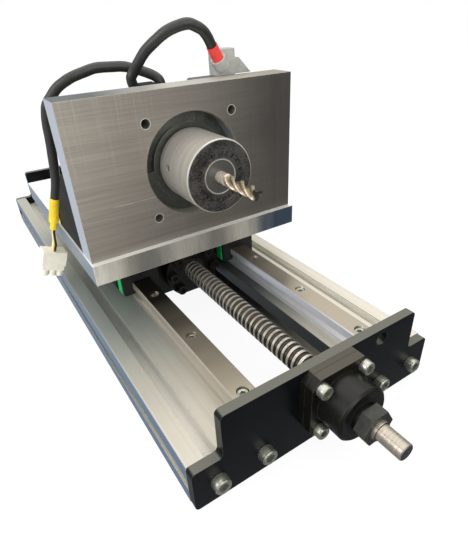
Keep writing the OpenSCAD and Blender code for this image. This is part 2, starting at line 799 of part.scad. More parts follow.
// Places on top of the saddle for the screws into a riser bar
module riser_screw_places(side)
    for (y = [front_block_y + riser_screw_in, rear_block_y + block_len - riser_screw_in])
        translate([side * rail_x, y, saddle_z1]) children();

module riser_screws()
    color("dimgray") for (side = [-1, 1]) riser_screw_places(side)
        translate([0, 0, -6]) cap_screw(m5, saddle_t);

bracket_screw_x = 18;
bracket_screw_in = 9;
// Places on top of the saddle for the screws into the nut bracket
module bracket_screw_places()
    for (side = [-1, 1], y = [nut_y0 + nut_flange_t + bracket_screw_in, nut_y1 - bracket_screw_in])
        translate([side * bracket_screw_x, y, saddle_z1]) children();

head_screw_in = 20;
head_screw_x = 22;
head_screw_xs = [for (side = [-1, 1], x = [head_screw_x, head_w / 2 - head_screw_in]) side * x];
gusset_screw_ys = [18, 42];
// Places under the saddle for the screws into the spindle plate and the gussets
module head_screw_places() {
    for (x = head_screw_xs)
        translate([x, head_y0 + head_t / 2, saddle_z0]) children();
    for (side = [-1, 1], y = gusset_screw_ys)
        translate([side * (head_w - gusset_t) / 2, head_y1 + y, saddle_z0]) children();
}

module saddle_plate()
    color([0.72, 0.73, 0.72]) difference() {
        translate([-saddle_w / 2, saddle_y0, saddle_z0]) cube([saddle_w, saddle_len, saddle_t]);
        for (side = [-1, 1]) riser_screw_places(side) counterbore(m5, 6, saddle_t);
        bracket_screw_places() counterbore(m5, 6, saddle_t);
        head_screw_places() mirror([0, 0, 1]) counterbore(m5, 6, saddle_t);
    }

// ---------- carriage: ball nut and bracket ----------

module nut_screw_places()
    translate([0, nut_y0, screw_z]) for (a = nut_hole_angles)
        rotate([0, a, 0]) translate([nut_pcd / 2, 0, 0]) children();

module ball_nut()
    color([0.2, 0.2, 0.21]) difference() {
        translate([0, 0, screw_z]) difference() {
            union() {
                extrude_y(nut_y0, nut_flange_t) intersection() {
                    circle(d = nut_flange_d);
                    square([nut_flange_d, 2 * bracket_drop], center = true);
                }
                rod_y(nut_y0, nut_flange_t + nut_body_len, nut_body_d);
            }
            rod_y(nut_y0 - eps, nut_flange_t + nut_body_len + 2 * eps, nut_bore_d);
            rod_y(nut_y0 - eps, wiper_t + eps, wiper_d);
            rod_y(nut_y1 - wiper_t, wiper_t + eps, wiper_d);
        }
        nut_screw_places() rod_y(-eps, nut_flange_t + 2 * eps, m5 + clear_gap);
    }

module nut_wipers()
    color("white") translate([0, 0, screw_z]) for (y = [nut_y0, nut_y1 - wiper_t])
        ring_y(y, wiper_t, wiper_d, nut_bore_d);

module nut_bracket()
    color([0.1, 0.1, 0.11]) difference() {
        translate([-bracket_w / 2, nut_y0 + nut_flange_t, screw_z - bracket_drop])
            cube([bracket_w, nut_body_len, saddle_z0 - screw_z + bracket_drop]);
        translate([0, 0, screw_z])
            rod_y(nut_y0 + nut_flange_t - eps, nut_body_len + 2 * eps, nut_body_d + hole_gap);
        nut_screw_places() rod_y(nut_flange_t - eps, 12, m5 + hole_gap);
        translate([0, 0, -saddle_t]) bracket_screw_places()
            translate([0, 0, -12]) cylinder(h = 12 + eps, d = m5 + hole_gap);
    }

module nut_screws()
    color("silver") nut_screw_places() screw_to_front(0, m5, nut_flange_t + 10);

module bracket_screws()
    color("dimgray") bracket_screw_places() translate([0, 0, -6]) cap_screw(m5, saddle_t + 4);

// ---------- carriage: spindle head ----------

module spindle_plate()
    color([0.55, 0.53, 0.5]) difference() {
        translate([-head_w / 2, head_y0, saddle_z1]) cube([head_w, head_t, head_h]);
        translate([0, 0, spindle_z]) {
            rod_y(head_y0 - eps, head_t + 2 * eps, head_bore_d);
            translate([0, head_y0 - eps, 0]) rotate([-90, 0, 0])
                cylinder(h = head_bore_chamfer + eps, d1 = head_bore_d + 2 * head_bore_chamfer,
                    d2 = head_bore_d);
            square_pattern(motor_hole_pitch) rod_y(head_y0 - eps, head_t + 2 * eps, m6 + hole_gap);
        }
        for (x = head_screw_xs)
            translate([x, head_y0 + head_t / 2, saddle_z1 - eps]) cylinder(h = 14, d = m5 + hole_gap);
    }

module gusset(side)
    difference() {
        translate([side * (head_w - gusset_t) / 2, 0, 0]) rotate([90, 0, 90])
            translate([0, 0, -gusset_t / 2]) linear_extrude(height = gusset_t)
                polygon([
                    [head_y1, saddle_z1], [head_y1 + gusset_len, saddle_z1],
                    [head_y1 + gusset_len, saddle_z1 + 8], [head_y1 + 8, saddle_z1 + gusset_h],
                    [head_y1, saddle_z1 + gusset_h]
                ]);
        for (y = gusset_screw_ys)
            translate([side * (head_w - gusset_t) / 2, head_y1 + y, saddle_z1 - eps])
                cylinder(h = 11, d = m5 + hole_gap);
    }

module left_gusset() color([0.12, 0.12, 0.13]) gusset(-1);
module right_gusset() color([0.12, 0.12, 0.13]) gusset(1);

module head_screws()
    color("dimgray") head_screw_places() mirror([0, 0, 1]) translate([0, 0, -6]) cap_screw(m5, saddle_t + 1);

// ---------- carriage: motor ----------

shaft_in_motor = 28;
shaft_in_holder = 26;

// One ramp of the motor's front ring as a wedge that deepens round the axis
ramp_steps = 10;
ramp_span = 106;
module ramp(start) {
    r0 = ramp_inner_d / 2;
    r1 = head_bore_d / 2 + 1;
    ring_points = [for (i = [0 : ramp_steps])
        let (a = start + ramp_span * i / ramp_steps, depth = ramp_depth * i / ramp_steps + 0.05)
        each [
            [r0 * cos(a), -1, r0 * sin(a)], [r1 * cos(a), -1, r1 * sin(a)],
            [r1 * cos(a), depth, r1 * sin(a)], [r0 * cos(a), depth, r0 * sin(a)]
        ]];
    walls = [for (i = [0 : ramp_steps - 1], k = [0 : 3])
        let (a = 4 * i + k, b = 4 * i + (k + 1) % 4)
        each [[a, b + 4, b], [a, a + 4, b + 4]]];
    caps = [[0, 1, 2, 3], [for (k = [3 : -1 : 0]) 4 * ramp_steps + k]];
    translate([0, ring_y, spindle_z]) polyhedron(ring_points, concat(walls, caps));
}

// Lug on the flange's top that carries the encoder cable's hood
seat_xs = [14, 32, 50];
seat_zs = [-3, 7, 11];
seat_chamfer = 2;
module hood_seat()
    extrude_y(hood_place[1], head_y1 + motor_flange_t - hood_place[1])
        translate([0, motor_side / 2])
            polygon([
                [seat_xs[0], seat_zs[0]], [seat_xs[1], seat_zs[0]], [seat_xs[2], seat_zs[1]],
                [seat_xs[2], seat_zs[2]], [seat_xs[0] + seat_chamfer, seat_zs[2]],
                [seat_xs[0], seat_zs[2] - seat_chamfer]
            ]);

motor_fit = 0.1;
module motor_flange()
    color([0.3, 0.31, 0.31]) difference() {
        translate([0, 0, spindle_z]) union() {
            round_bar_y(head_y1, motor_flange_t, motor_side, 6);
            rod_y(ring_y, head_y1 - ring_y + eps, head_bore_d - 2 * motor_fit);
            hood_seat();
        }
        translate([0, 0, spindle_z]) {
            rod_y(ring_y - eps, head_y1 + motor_flange_t - ring_y + 2 * eps, shaft_d + 1);
            square_pattern(motor_hole_pitch)
                rod_y(head_y1 - eps, motor_flange_t + 2 * eps, m6 + clear_gap);
        }
        for (start = [77, 197, 317]) ramp(start);
    }

// Motor body with its four corners cut back for the screws
module motor_body()
    color([0.1, 0.1, 0.11]) translate([0, 0, spindle_z]) difference() {
        round_bar_y(head_y1 + motor_flange_t, motor_len, motor_side - 1, 8);
        square_pattern(motor_hole_pitch + 8)
            rod_y(head_y1 + motor_flange_t - eps, motor_len + 2 * eps, 24);
        rod_y(head_y1 + motor_flange_t - eps, shaft_in_motor + 2, shaft_d + 1);
    }

module motor_rear_cover()
    color([0.08, 0.08, 0.09]) translate([0, 0, spindle_z])
        round_bar_y(motor_y1, motor_cover_len, motor_cover_side, 10);

module motor_screws()
    color("dimgray") translate([0, 0, spindle_z]) square_pattern(motor_hole_pitch)
        screw_to_rear(head_y1 + motor_flange_t, m6, motor_flange_t + 12);

// Rubber cone under the encoder cable and stepped boot under the power cable
module cable_grommets()
    color([0.06, 0.06, 0.06]) {
        encoder_root = encoder_route[0];
        power_root = power_route[0];
        translate([encoder_root[0], encoder_root[1], body_top_z])
            cylinder(h = encoder_root[2] - body_top_z, d1 = 12, d2 = cable_d + 2);
        translate([power_root[0] - 7, power_root[1] - 6, body_top_z])
            cube([13, 12, power_root[2] - body_top_z]);
        translate([power_root[0] - 17, power_root[1] - 6, body_top_z])
            cube([12, 12, power_root[2] - body_top_z + 3.5]);
    }

// ---------- carriage: cables ----------

module encoder_cable() color([0.1, 0.1, 0.1]) tube(encoder_route, cable_d);

encoder_end = past_end(encoder_route, encoder_sleeve_len);
module encoder_sleeve()
    color([0.91, 0.25, 0.22]) tube([encoder_route[len(encoder_route) - 1], encoder_end], cable_d + 1);

// Places its child at the sleeve's end with Z pointing on into the hood
module at_encoder_end() {
    v = end_heading(encoder_route);
    translate(encoder_end) rotate([0, acos(v[2]), atan2(v[1], v[0])]) children();
}

// Hood of the encoder cable: rounded block, sloping tail and a round collar for the sleeve
collar_wall = 1.5;
module encoder_connector()
    color([0.66, 0.67, 0.65]) difference() {
        union() {
            translate(hood_place) {
                linear_extrude(height = hood_h) round_rect(hood_w, hood_depth, 3);
                extrude_y(1.5, hood_depth - 3)
                    polygon([[hood_w - 4, 0], [hood_w + 13, 0], [hood_w + 3, 10.5], [hood_w - 4, 10.5]]);
            }
            at_encoder_end() translate([0, 0, -3.5]) cylinder(h = 7, d = cable_d + 1 + 2 * collar_wall);
        }
        at_encoder_end() translate([0, 0, -20]) cylinder(h = 20, d = cable_d + 1.2);
        translate(hood_place - [10, 10, 10]) cube([hood_w + 30, hood_depth + 20, 10]);
    }

module power_cable() color([0.1, 0.1, 0.1]) tube(power_route, cable_d);

power_end = past_end(power_route, power_sleeve_len);
power_collar_end = past_end(power_route, power_sleeve_len + power_collar_len);
module power_sleeve()
    color([0.95, 0.79, 0.12]) {
        tube([power_route[len(power_route) - 1], power_end], cable_d + 1);
        tube([past_end(power_route, power_sleeve_len - 1), power_collar_end], power_collar_d);
    }

module power_wires()
    color([0.95, 0.85, 0.1]) {
        plug_axis = [sin(plug_tilt), 0, cos(plug_tilt)];
        v = end_heading(power_route);
        across = [0, 1, 0] - v[1] * v;
        for (k = [-1 : 1]) {
            start = power_collar_end + wire_gap * v + k * wire_pitch * across;
            end = plug_top + [0, 2 * k * wire_pitch, 0];
            tube([start, start + 3 * v, end + 6 * plug_axis, end + 2.5 * plug_axis, end], wire_d, 6);
        }
    }

// Places of the plug's cells, seen along its axis
module plug_cell_places()
    for (x = [-5.8, 0, 5.8], y = [-3.3, 3.3]) translate([x, y, 0]) children();

// Plug housing with a shoulder and two rows of cells
module power_plug()
    color([0.93, 0.92, 0.86])
        translate(plug_top) rotate([0, plug_tilt, 0]) translate([0, 0, -plug_size[2]]) difference() {
            union() {
                translate([-plug_size[0] / 2, -plug_size[1] / 2, 9])
                    cube([plug_size[0], plug_size[1], plug_size[2] - 9]);
                translate([0.8 - plug_size[0] / 2, 0.8 - plug_size[1] / 2, 5])
                    cube([plug_size[0] - 1.6, plug_size[1] - 1.6, 5]);
                plug_cell_places() cylinder(h = 6, d = cell_d);
            }
            plug_cell_places() translate([0, 0, -eps]) cylinder(h = 8, d = cell_d / 2);
        }

// ---------- spindle: shaft, tool holder and end mill ----------

module spindle_shaft()
    color("silver") translate([0, 0, spindle_z])
        rod_y(holder_y1 - shaft_in_holder,
            head_y1 + motor_flange_t + shaft_in_motor - holder_y1 + shaft_in_holder, shaft_d);

set_screw_angle = 171;
tool_grip = 14;
flute_lead = 32;
flute_radii = [1, 0.9, 0.56, 0.6];
module tool_holder()
    color([0.7, 0.7, 0.68]) translate([0, 0, spindle_z]) difference() {
        translate([0, holder_y0, 0]) rotate([-90, 0, 0]) rotate_extrude()
            polygon([
                [0, 0], [holder_d / 2 - 1, 0], [holder_d / 2, 1], [holder_d / 2, holder_len - 0.5],
                [holder_d / 2 - 0.5, holder_len], [0, holder_len]
            ]);
        rod_y(holder_y1 - shaft_in_holder, shaft_in_holder + eps, shaft_d);
        rod_y(holder_y0 - eps, tool_grip, tool_d);
        ring_y(holder_y0 - eps, 1, clamp_ring_d, collet_d);
        rotate([0, -set_screw_angle, 0]) translate([holder_d / 2 - 4, holder_y1 - 12, 0])
            rotate([0, 90, 0]) cylinder(h = 10, d = m5);
    }

module end_mill()
    color([0.8, 0.74, 0.6]) translate([0, 0, spindle_z]) {
        rod_y(holder_y0 - tool_shank, tool_shank + tool_grip - 0.3, tool_d);
        translate([0, holder_y0 - tool_shank, 0]) rotate([90, 0, 0])
            linear_extrude(height = tool_flutes, twist = -360 * tool_flutes / flute_lead, slices = 24)
                flute_section();
    }

// Section of the cutting part, with three gullets
module flute_section()
    polygon([for (i = [0 : 11])
        let (a = 30 * i, r = tool_d / 2 * flute_radii[i % 4])
        [r * cos(a), r * sin(a)]]);

left_profile();
right_profile();
drive_end_plate();
rear_end_plate();
end_plate_screws();
left_rail();
right_rail();
rail_screws();
rail_slot_nuts();
bearing_housing();
bearing_cover();
bearing_outer_rings();
bearing_balls();
bearing_unit_screws();
shaft_seals();
rear_bearing_housing();
rear_bearing_outer_ring();
rear_bearing_balls();
rear_unit_screws();
ball_screw();
screw_thread();
spacer_collars();
lock_nut();
bearing_inner_rings();
rear_bearing_inner_ring();
rear_circlip();
saddle_plate();
riser_bars();
front_left_block();
front_right_block();
rear_left_block();
rear_right_block();
block_end_caps();
block_end_seals();
block_screws();
riser_screws();
ball_nut();
nut_wipers();
nut_bracket();
nut_screws();
bracket_screws();
spindle_plate();
left_gusset();
right_gusset();
head_screws();
motor_flange();
motor_body();
motor_rear_cover();
motor_screws();
cable_grommets();
encoder_cable();
encoder_sleeve();
encoder_connector();
power_cable();
power_sleeve();
power_wires();
power_plug();
spindle_shaft();
tool_holder();
end_mill();
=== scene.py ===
"""Looks of a ball screw linear module with a milling spindle head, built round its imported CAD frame.

Every visible piece rides on the CAD body it belongs to, and stays inside the CAD part's box. Lengths are
in metres unless a name ends in _mm.
"""

from __future__ import annotations

import json
import logging
import math
from dataclasses import dataclass
from enum import Enum
from typing import Iterable, Sequence, Union

import bmesh
import bpy
from bpy.types import Material, Mesh, Node, NodeInputs, NodeOutputs, NodeSocket, NodeTree, Object
from mathutils import Matrix, Vector

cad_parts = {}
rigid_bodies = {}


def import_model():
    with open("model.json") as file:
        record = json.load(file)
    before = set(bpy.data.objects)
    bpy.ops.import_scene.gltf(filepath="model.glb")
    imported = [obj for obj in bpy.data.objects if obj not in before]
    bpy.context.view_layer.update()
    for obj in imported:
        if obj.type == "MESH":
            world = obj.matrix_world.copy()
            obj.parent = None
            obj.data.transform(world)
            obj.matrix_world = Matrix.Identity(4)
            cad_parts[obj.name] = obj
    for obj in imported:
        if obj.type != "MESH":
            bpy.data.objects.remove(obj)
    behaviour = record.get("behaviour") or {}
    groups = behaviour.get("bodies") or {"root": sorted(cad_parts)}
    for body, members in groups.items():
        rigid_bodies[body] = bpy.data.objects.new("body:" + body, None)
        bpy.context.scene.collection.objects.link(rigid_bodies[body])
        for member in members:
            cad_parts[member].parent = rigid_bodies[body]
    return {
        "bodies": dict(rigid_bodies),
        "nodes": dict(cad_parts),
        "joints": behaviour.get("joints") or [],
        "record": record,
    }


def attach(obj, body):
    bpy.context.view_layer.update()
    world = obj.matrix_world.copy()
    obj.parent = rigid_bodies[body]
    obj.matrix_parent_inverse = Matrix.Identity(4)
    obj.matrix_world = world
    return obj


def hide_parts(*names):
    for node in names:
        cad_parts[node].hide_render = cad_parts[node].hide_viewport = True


LOG = logging.getLogger("ball_screw_module")
MM = 0.001
SEED = 7

SCREW_Z = 38 * MM
SPINDLE_Z = 134 * MM
FRONT_Y = -216 * MM
HEAD_BACK_Y = FRONT_Y + 162.5 * MM
PROFILE_IN = 31 * MM
PROFILE_TOP = 30 * MM
HEAD_HOLE_OUT = 31.8 * MM
HEAD_HOLE_R = 3.05 * MM
MOTOR_TOP = (0.0, -53.5, 174.0)
SADDLE_EDGE = (-85.0, -53.5, 83.0)
HOLDER_Y1 = HEAD_BACK_Y - 14.5 * MM
HOLDER_Y0 = HOLDER_Y1 - 40 * MM
TOOL_REACH = 40 * MM
SHANK_REACH = 8 * MM

Color = tuple[float, float, float]
Point = tuple[float, float, float]
Value = Union[NodeSocket, float, Color, str]
Ring = list[Vector]


class FarEnd(str, Enum):
    """What is on a cable's far end."""

    CONNECTOR = "connector"
    PLUG = "plug"


# ---------------------------------------------------------------------------
# Shader trees
# ---------------------------------------------------------------------------


class Graph:
    """Adds and joins the nodes of one shader tree."""

    def __init__(self, tree: NodeTree) -> None:
        """Keeps the tree that the nodes go into."""
        self.tree = tree

    def node(self, kind: str, inputs: dict | None = None, **settings: object) -> Node:
        """Adds a node.

        Args:
            kind: The node's type name.
            inputs: Values or output sockets by input name or number.
            **settings: Properties of the node.

        Returns:
            The new node.
        """
        made = self.tree.nodes.new(kind)
        for name, value in settings.items():
            setattr(made, name, value)
        for name, value in (inputs or {}).items():
            self.feed(made.inputs[name], value)
        return made

    def feed(self, socket: NodeSocket, value: Value) -> None:
        """Links an output to an input, or sets the input's constant.

        Args:
            socket: The input.
            value: An output socket or a constant.
        """
        if isinstance(value, NodeSocket):
            self.tree.links.new(value, socket)
        elif socket.type == "RGBA" and len(value) == 3:
            socket.default_value = (*value, 1.0)
        else:
            socket.default_value = value

    def math(self, operation: str, a: Value, b: Value = 0.0, clamp: bool = False) -> NodeSocket:
        """Adds a math node and returns its output."""
        return self.node("ShaderNodeMath", {0: a, 1: b}, operation=operation, use_clamp=clamp).outputs[0]

    def remap(
        self, value: Value, low: float, high: float, to_low: float = 0.0, to_high: float = 1.0
    ) -> NodeSocket:
        """Maps a value from one span to another, clamped, and returns the output."""
        inputs = {"Value": value, "From Min": low, "From Max": high, "To Min": to_low, "To Max": to_high}
        return self.node("ShaderNodeMapRange", inputs).outputs["Result"]

    def add(self, a: Value, b: Value, clamp: bool = False) -> NodeSocket:
        """Adds two values and returns the output."""
        return self.math("ADD", a, b, clamp)

    def sub(self, a: Value, b: Value) -> NodeSocket:
        """Takes one value from another and returns the output."""
        return self.math("SUBTRACT", a, b)

    def mul(self, a: Value, b: Value, clamp: bool = False) -> NodeSocket:
        """Multiplies two values and returns the output."""
        return self.math("MULTIPLY", a, b, clamp)

    def axes(self, vector: Value) -> NodeOutputs:
        """Splits a vector and returns its X, Y and Z outputs."""
        return self.node("ShaderNodeSeparateXYZ", {0: vector}).outputs

    def mix(self, factor: Value, a: Value, b: Value) -> NodeSocket:
        """Blends two colours, given as sockets or colour codes, and returns the output."""
        node = self.node("ShaderNodeMix", data_type="RGBA")
        for index, value in ((0, factor), (6, a), (7, b)):
            self.feed(node.inputs[index], tint(value) if isinstance(value, str) else value)
        return node.outputs[2]

    def over(self, color: Value, code: str, value: Value, *span: float) -> NodeSocket:
        """Lays a colour over another where a value reaches through remap's span; returns the output."""
        return self.mix(self.remap(value, *span), color, code)

    def lerp(self, factor: Value, a: Value, b: Value) -> NodeSocket:
        """Blends two values and returns the output."""
        return self.node("ShaderNodeMix", {0: factor, 2: a, 3: b}, data_type="FLOAT").outputs[0]

    def scaled(self, vector: Value, by: Point) -> NodeSocket:
        """Scales a vector along each axis and returns the output."""
        node = self.node("ShaderNodeVectorMath", {0: vector, 1: by}, operation="MULTIPLY")
        return node.outputs["Vector"]

    def noise(
        self, vector: Value, scale: Value, detail: float = 3.0, roughness: float = 0.55,
        distortion: float = 0.0,
    ) -> NodeSocket:
        """Adds a noise texture and returns its value."""
        inputs = {"Vector": vector, "Scale": scale, "Detail": detail, "Roughness": roughness}
        inputs["Distortion"] = distortion
        return self.node("ShaderNodeTexNoise", inputs).outputs[0]

    def bump(
        self, height: Value, strength: float, distance: float, normal: Value | None = None
    ) -> NodeSocket:
        """Turns a height into a normal and returns it."""
        inputs = {"Height": height, "Strength": strength, "Distance": distance}
        if normal is not None:
            inputs["Normal"] = normal
        return self.node("ShaderNodeBump", inputs).outputs["Normal"]

    def group(self, tree: NodeTree, inputs: dict) -> Node:
        """Adds a node group.

        Args:
            tree: The group's tree.
            inputs: Values or output sockets by input name.

        Returns:
            The group node.
        """
        made = self.tree.nodes.new("ShaderNodeGroup")
        made.node_tree = tree
        for name, value in inputs.items():
            self.feed(made.inputs[name], value)
        return made


@dataclass(frozen=True)
class SocketSpec:
    """A socket of a node group."""

    name: str
    kind: str
    default: float | Point | None = None


VECTOR = SocketSpec("Vector", "Vector")


def floats(*names: str) -> list[SocketSpec]:
    """Float sockets of these names."""
    return [SocketSpec(name, "Float") for name in names]


def new_group(
    name: str, inputs: Sequence[SocketSpec], outputs: Sequence[SocketSpec]
) -> tuple[NodeTree, Graph, NodeOutputs, NodeInputs]:
    """Starts a shader node group.

    Args:
        name: Name of the group.
        inputs: Its input sockets.
        outputs: Its output sockets.

    Returns:
        The tree, its graph, the input node's outputs and the output node's inputs.
    """
    tree = bpy.data.node_groups.new(name, "ShaderNodeTree")
    for spec, side in [(s, "INPUT") for s in inputs] + [(s, "OUTPUT") for s in outputs]:
        socket = tree.interface.new_socket(name=spec.name, in_out=side, socket_type="NodeSocket" + spec.kind)
        if spec.default is not None:
            socket.default_value = spec.default
    graph = Graph(tree)
    return tree, graph, graph.node("NodeGroupInput").outputs, graph.node("NodeGroupOutput").inputs


def edge_wear_group() -> NodeTree:
    """Builds the mask of worn edges: where the rounded normal leaves the face's own, broken up by noise."""
    tree, g, given, out = new_group(
        "edge_wear",
        [VECTOR, SocketSpec("Width", "Float", 0.0006), SocketSpec("Breakup", "Float", 0.5)],
        floats("Mask"),
    )
    rounded = g.node("ShaderNodeBevel", {"Radius": given["Width"]}, samples=4).outputs["Normal"]
    flat = g.node("ShaderNodeNewGeometry").outputs["Normal"]
    dot = g.node("ShaderNodeVectorMath", {0: rounded, 1: flat}, operation="DOT_PRODUCT").outputs["Value"]
    edge = g.remap(g.sub(1.0, dot), 0.01, 0.12)
    noise = g.remap(g.noise(given["Vector"], 260.0, 4.0, 0.6), 0.35, 0.65)
    broken = g.lerp(given["Breakup"], 1.0, noise)
    g.feed(out["Mask"], g.mul(edge, broken, clamp=True))
    return tree


def grain_group() -> NodeTree:
    """Builds drawn or brushed grain: noise stretched along one direction by the Stretch scale."""
    tree, g, given, out = new_group(
        "grain",
        [VECTOR, SocketSpec("Stretch", "Vector", (1.0, 1.0, 1.0))],
        floats("Tone", "Height"),
    )
    stretched = g.node(
        "ShaderNodeVectorMath", {0: given["Vector"], 1: given["Stretch"]}, operation="MULTIPLY"
    ).outputs["Vector"]
    fine = g.noise(stretched, 1.0, 5.0, 0.7)
    coarse = g.noise(g.scaled(stretched, (0.21, 0.21, 0.21)), 1.0, 2.0, 0.5)
    g.feed(out["Tone"], g.add(g.mul(fine, 0.6), g.mul(coarse, 0.4)))
    g.feed(out["Height"], fine)
    return tree


def smudge_group() -> NodeTree:
    """Builds soft patches of handling marks and oily smears."""
    tree, g, given, out = new_group(
        "smudge",
        [VECTOR, SocketSpec("Scale", "Float", 30.0)],
        floats("Value"),
    )
    large = g.noise(given["Vector"], given["Scale"], 3.0, 0.5, 0.6)
    small = g.noise(given["Vector"], g.mul(given["Scale"], 7.0), 4.0, 0.6)
    both = g.add(g.mul(large, 0.7), g.mul(small, 0.3))
    g.feed(out["Value"], g.remap(both, 0.3, 0.7))
    return tree


def turned_group() -> NodeTree:
    """Builds turning marks: fine rings round an axis along Y through Center, and the place round it."""
    tree, g, given, out = new_group(
        "turned",
        [VECTOR, SocketSpec("Center", "Vector"), SocketSpec("Rings", "Float", 9000.0)],
        floats("Tone", "Radius", "Angle"),
    )
    local = g.node(
        "ShaderNodeVectorMath", {0: given["Vector"], 1: given["Center"]}, operation="SUBTRACT"
    ).outputs["Vector"]
    x, y, z = g.axes(local)
    flat = g.node("ShaderNodeCombineXYZ", {"X": x, "Z": z}).outputs[0]
    radius = g.node("ShaderNodeVectorMath", {0: flat}, operation="LENGTH").outputs["Value"]
    angle = g.math("ARCTAN2", z, x)
    rings = g.node(
        "ShaderNodeCombineXYZ",
        {"X": g.mul(radius, given["Rings"]), "Y": g.mul(y, given["Rings"]),
         "Z": g.mul(angle, 0.6)},
    ).outputs[0]
    g.feed(out["Tone"], g.noise(rings, 1.0, 3.0, 0.6))
    g.feed(out["Radius"], radius)
    g.feed(out["Angle"], angle)
    return tree


def speckle_group() -> NodeTree:
    """Builds a mottle of dark grains, as on a blackened or etched face."""
    tree, g, given, out = new_group(
        "speckle",
        [VECTOR, SocketSpec("Scale", "Float", 900.0), SocketSpec("Cover", "Float", 0.5)],
        floats("Mask"),
    )
    grains = g.noise(given["Vector"], given["Scale"], 3.0, 0.65)
    patches = g.noise(given["Vector"], g.mul(given["Scale"], 0.12), 2.0, 0.5)
    level = g.add(grains, g.mul(g.sub(patches, 0.5), 0.5))
    low = g.sub(0.85, given["Cover"])
    high = g.add(low, 0.12)
    inputs = {"Value": level, "From Min": low, "From Max": high}
    g.feed(out["Mask"], g.node("ShaderNodeMapRange", inputs).outputs["Result"])
    return tree


# ---------------------------------------------------------------------------
# Materials
# ---------------------------------------------------------------------------


def tint(code: str) -> Color:
    """Turns a colour code such as "#8C857C" into linear red, green and blue."""
    channels = [int(code[i : i + 2], 16) / 255 for i in (1, 3, 5)]
    return tuple(c / 12.92 if c <= 0.04045 else ((c + 0.055) / 1.055) ** 2.4 for c in channels)


@dataclass(frozen=True)
class Finish:
    """One surface: two tones that grain and handling marks blend, gloss, and worn edges.

    Attributes:
        light: The main colour.
        dark: The colour of grain lines and marks.
        metallic: Share of metal.
        roughness: Middle roughness.
        spread: How far the roughness moves with the marks.
        grain: Scale of the grain, or its scale along each axis; a small one draws it out along that axis.
        bump: Strength of the grain's relief.
        marks: How strongly the handling marks darken the colour.
        marks_scale: Size of the marks, as a noise scale.
        wear: Colour of worn edges, or none.
        wear_width: Width of the worn edges.
        coat: Weight of a clear coat.
        top: Colour of a painted reflection of the bright room above, laid on the faces that look up, or none.
        top_from: Height above which faces take that painted reflection.
        specular: Strength of the reflections of a surface that isn't metal.
    """

    light: str
    dark: str
    metallic: float = 0.0
    roughness: float = 0.4
    spread: float = 0.08
    grain: float | Point = 400.0
    bump: float = 0.04
    marks: float = 0.25
    marks_scale: float = 35.0
    wear: str | None = None
    wear_width: float = 0.0006
    coat: float = 0.0
    top: str | None = None
    top_from: float = 0.0
    specular: float = 0.5


LINES_ALONG_Y = (1600.0, 7.0, 1600.0)
RELIEF = 0.3 * MM
# Place and pitch of the painted reflection bands on the saddle's front.
SADDLE_REFLECTION_OUT = 49 * MM
SADDLE_REFLECTION_PITCH = 59 * MM

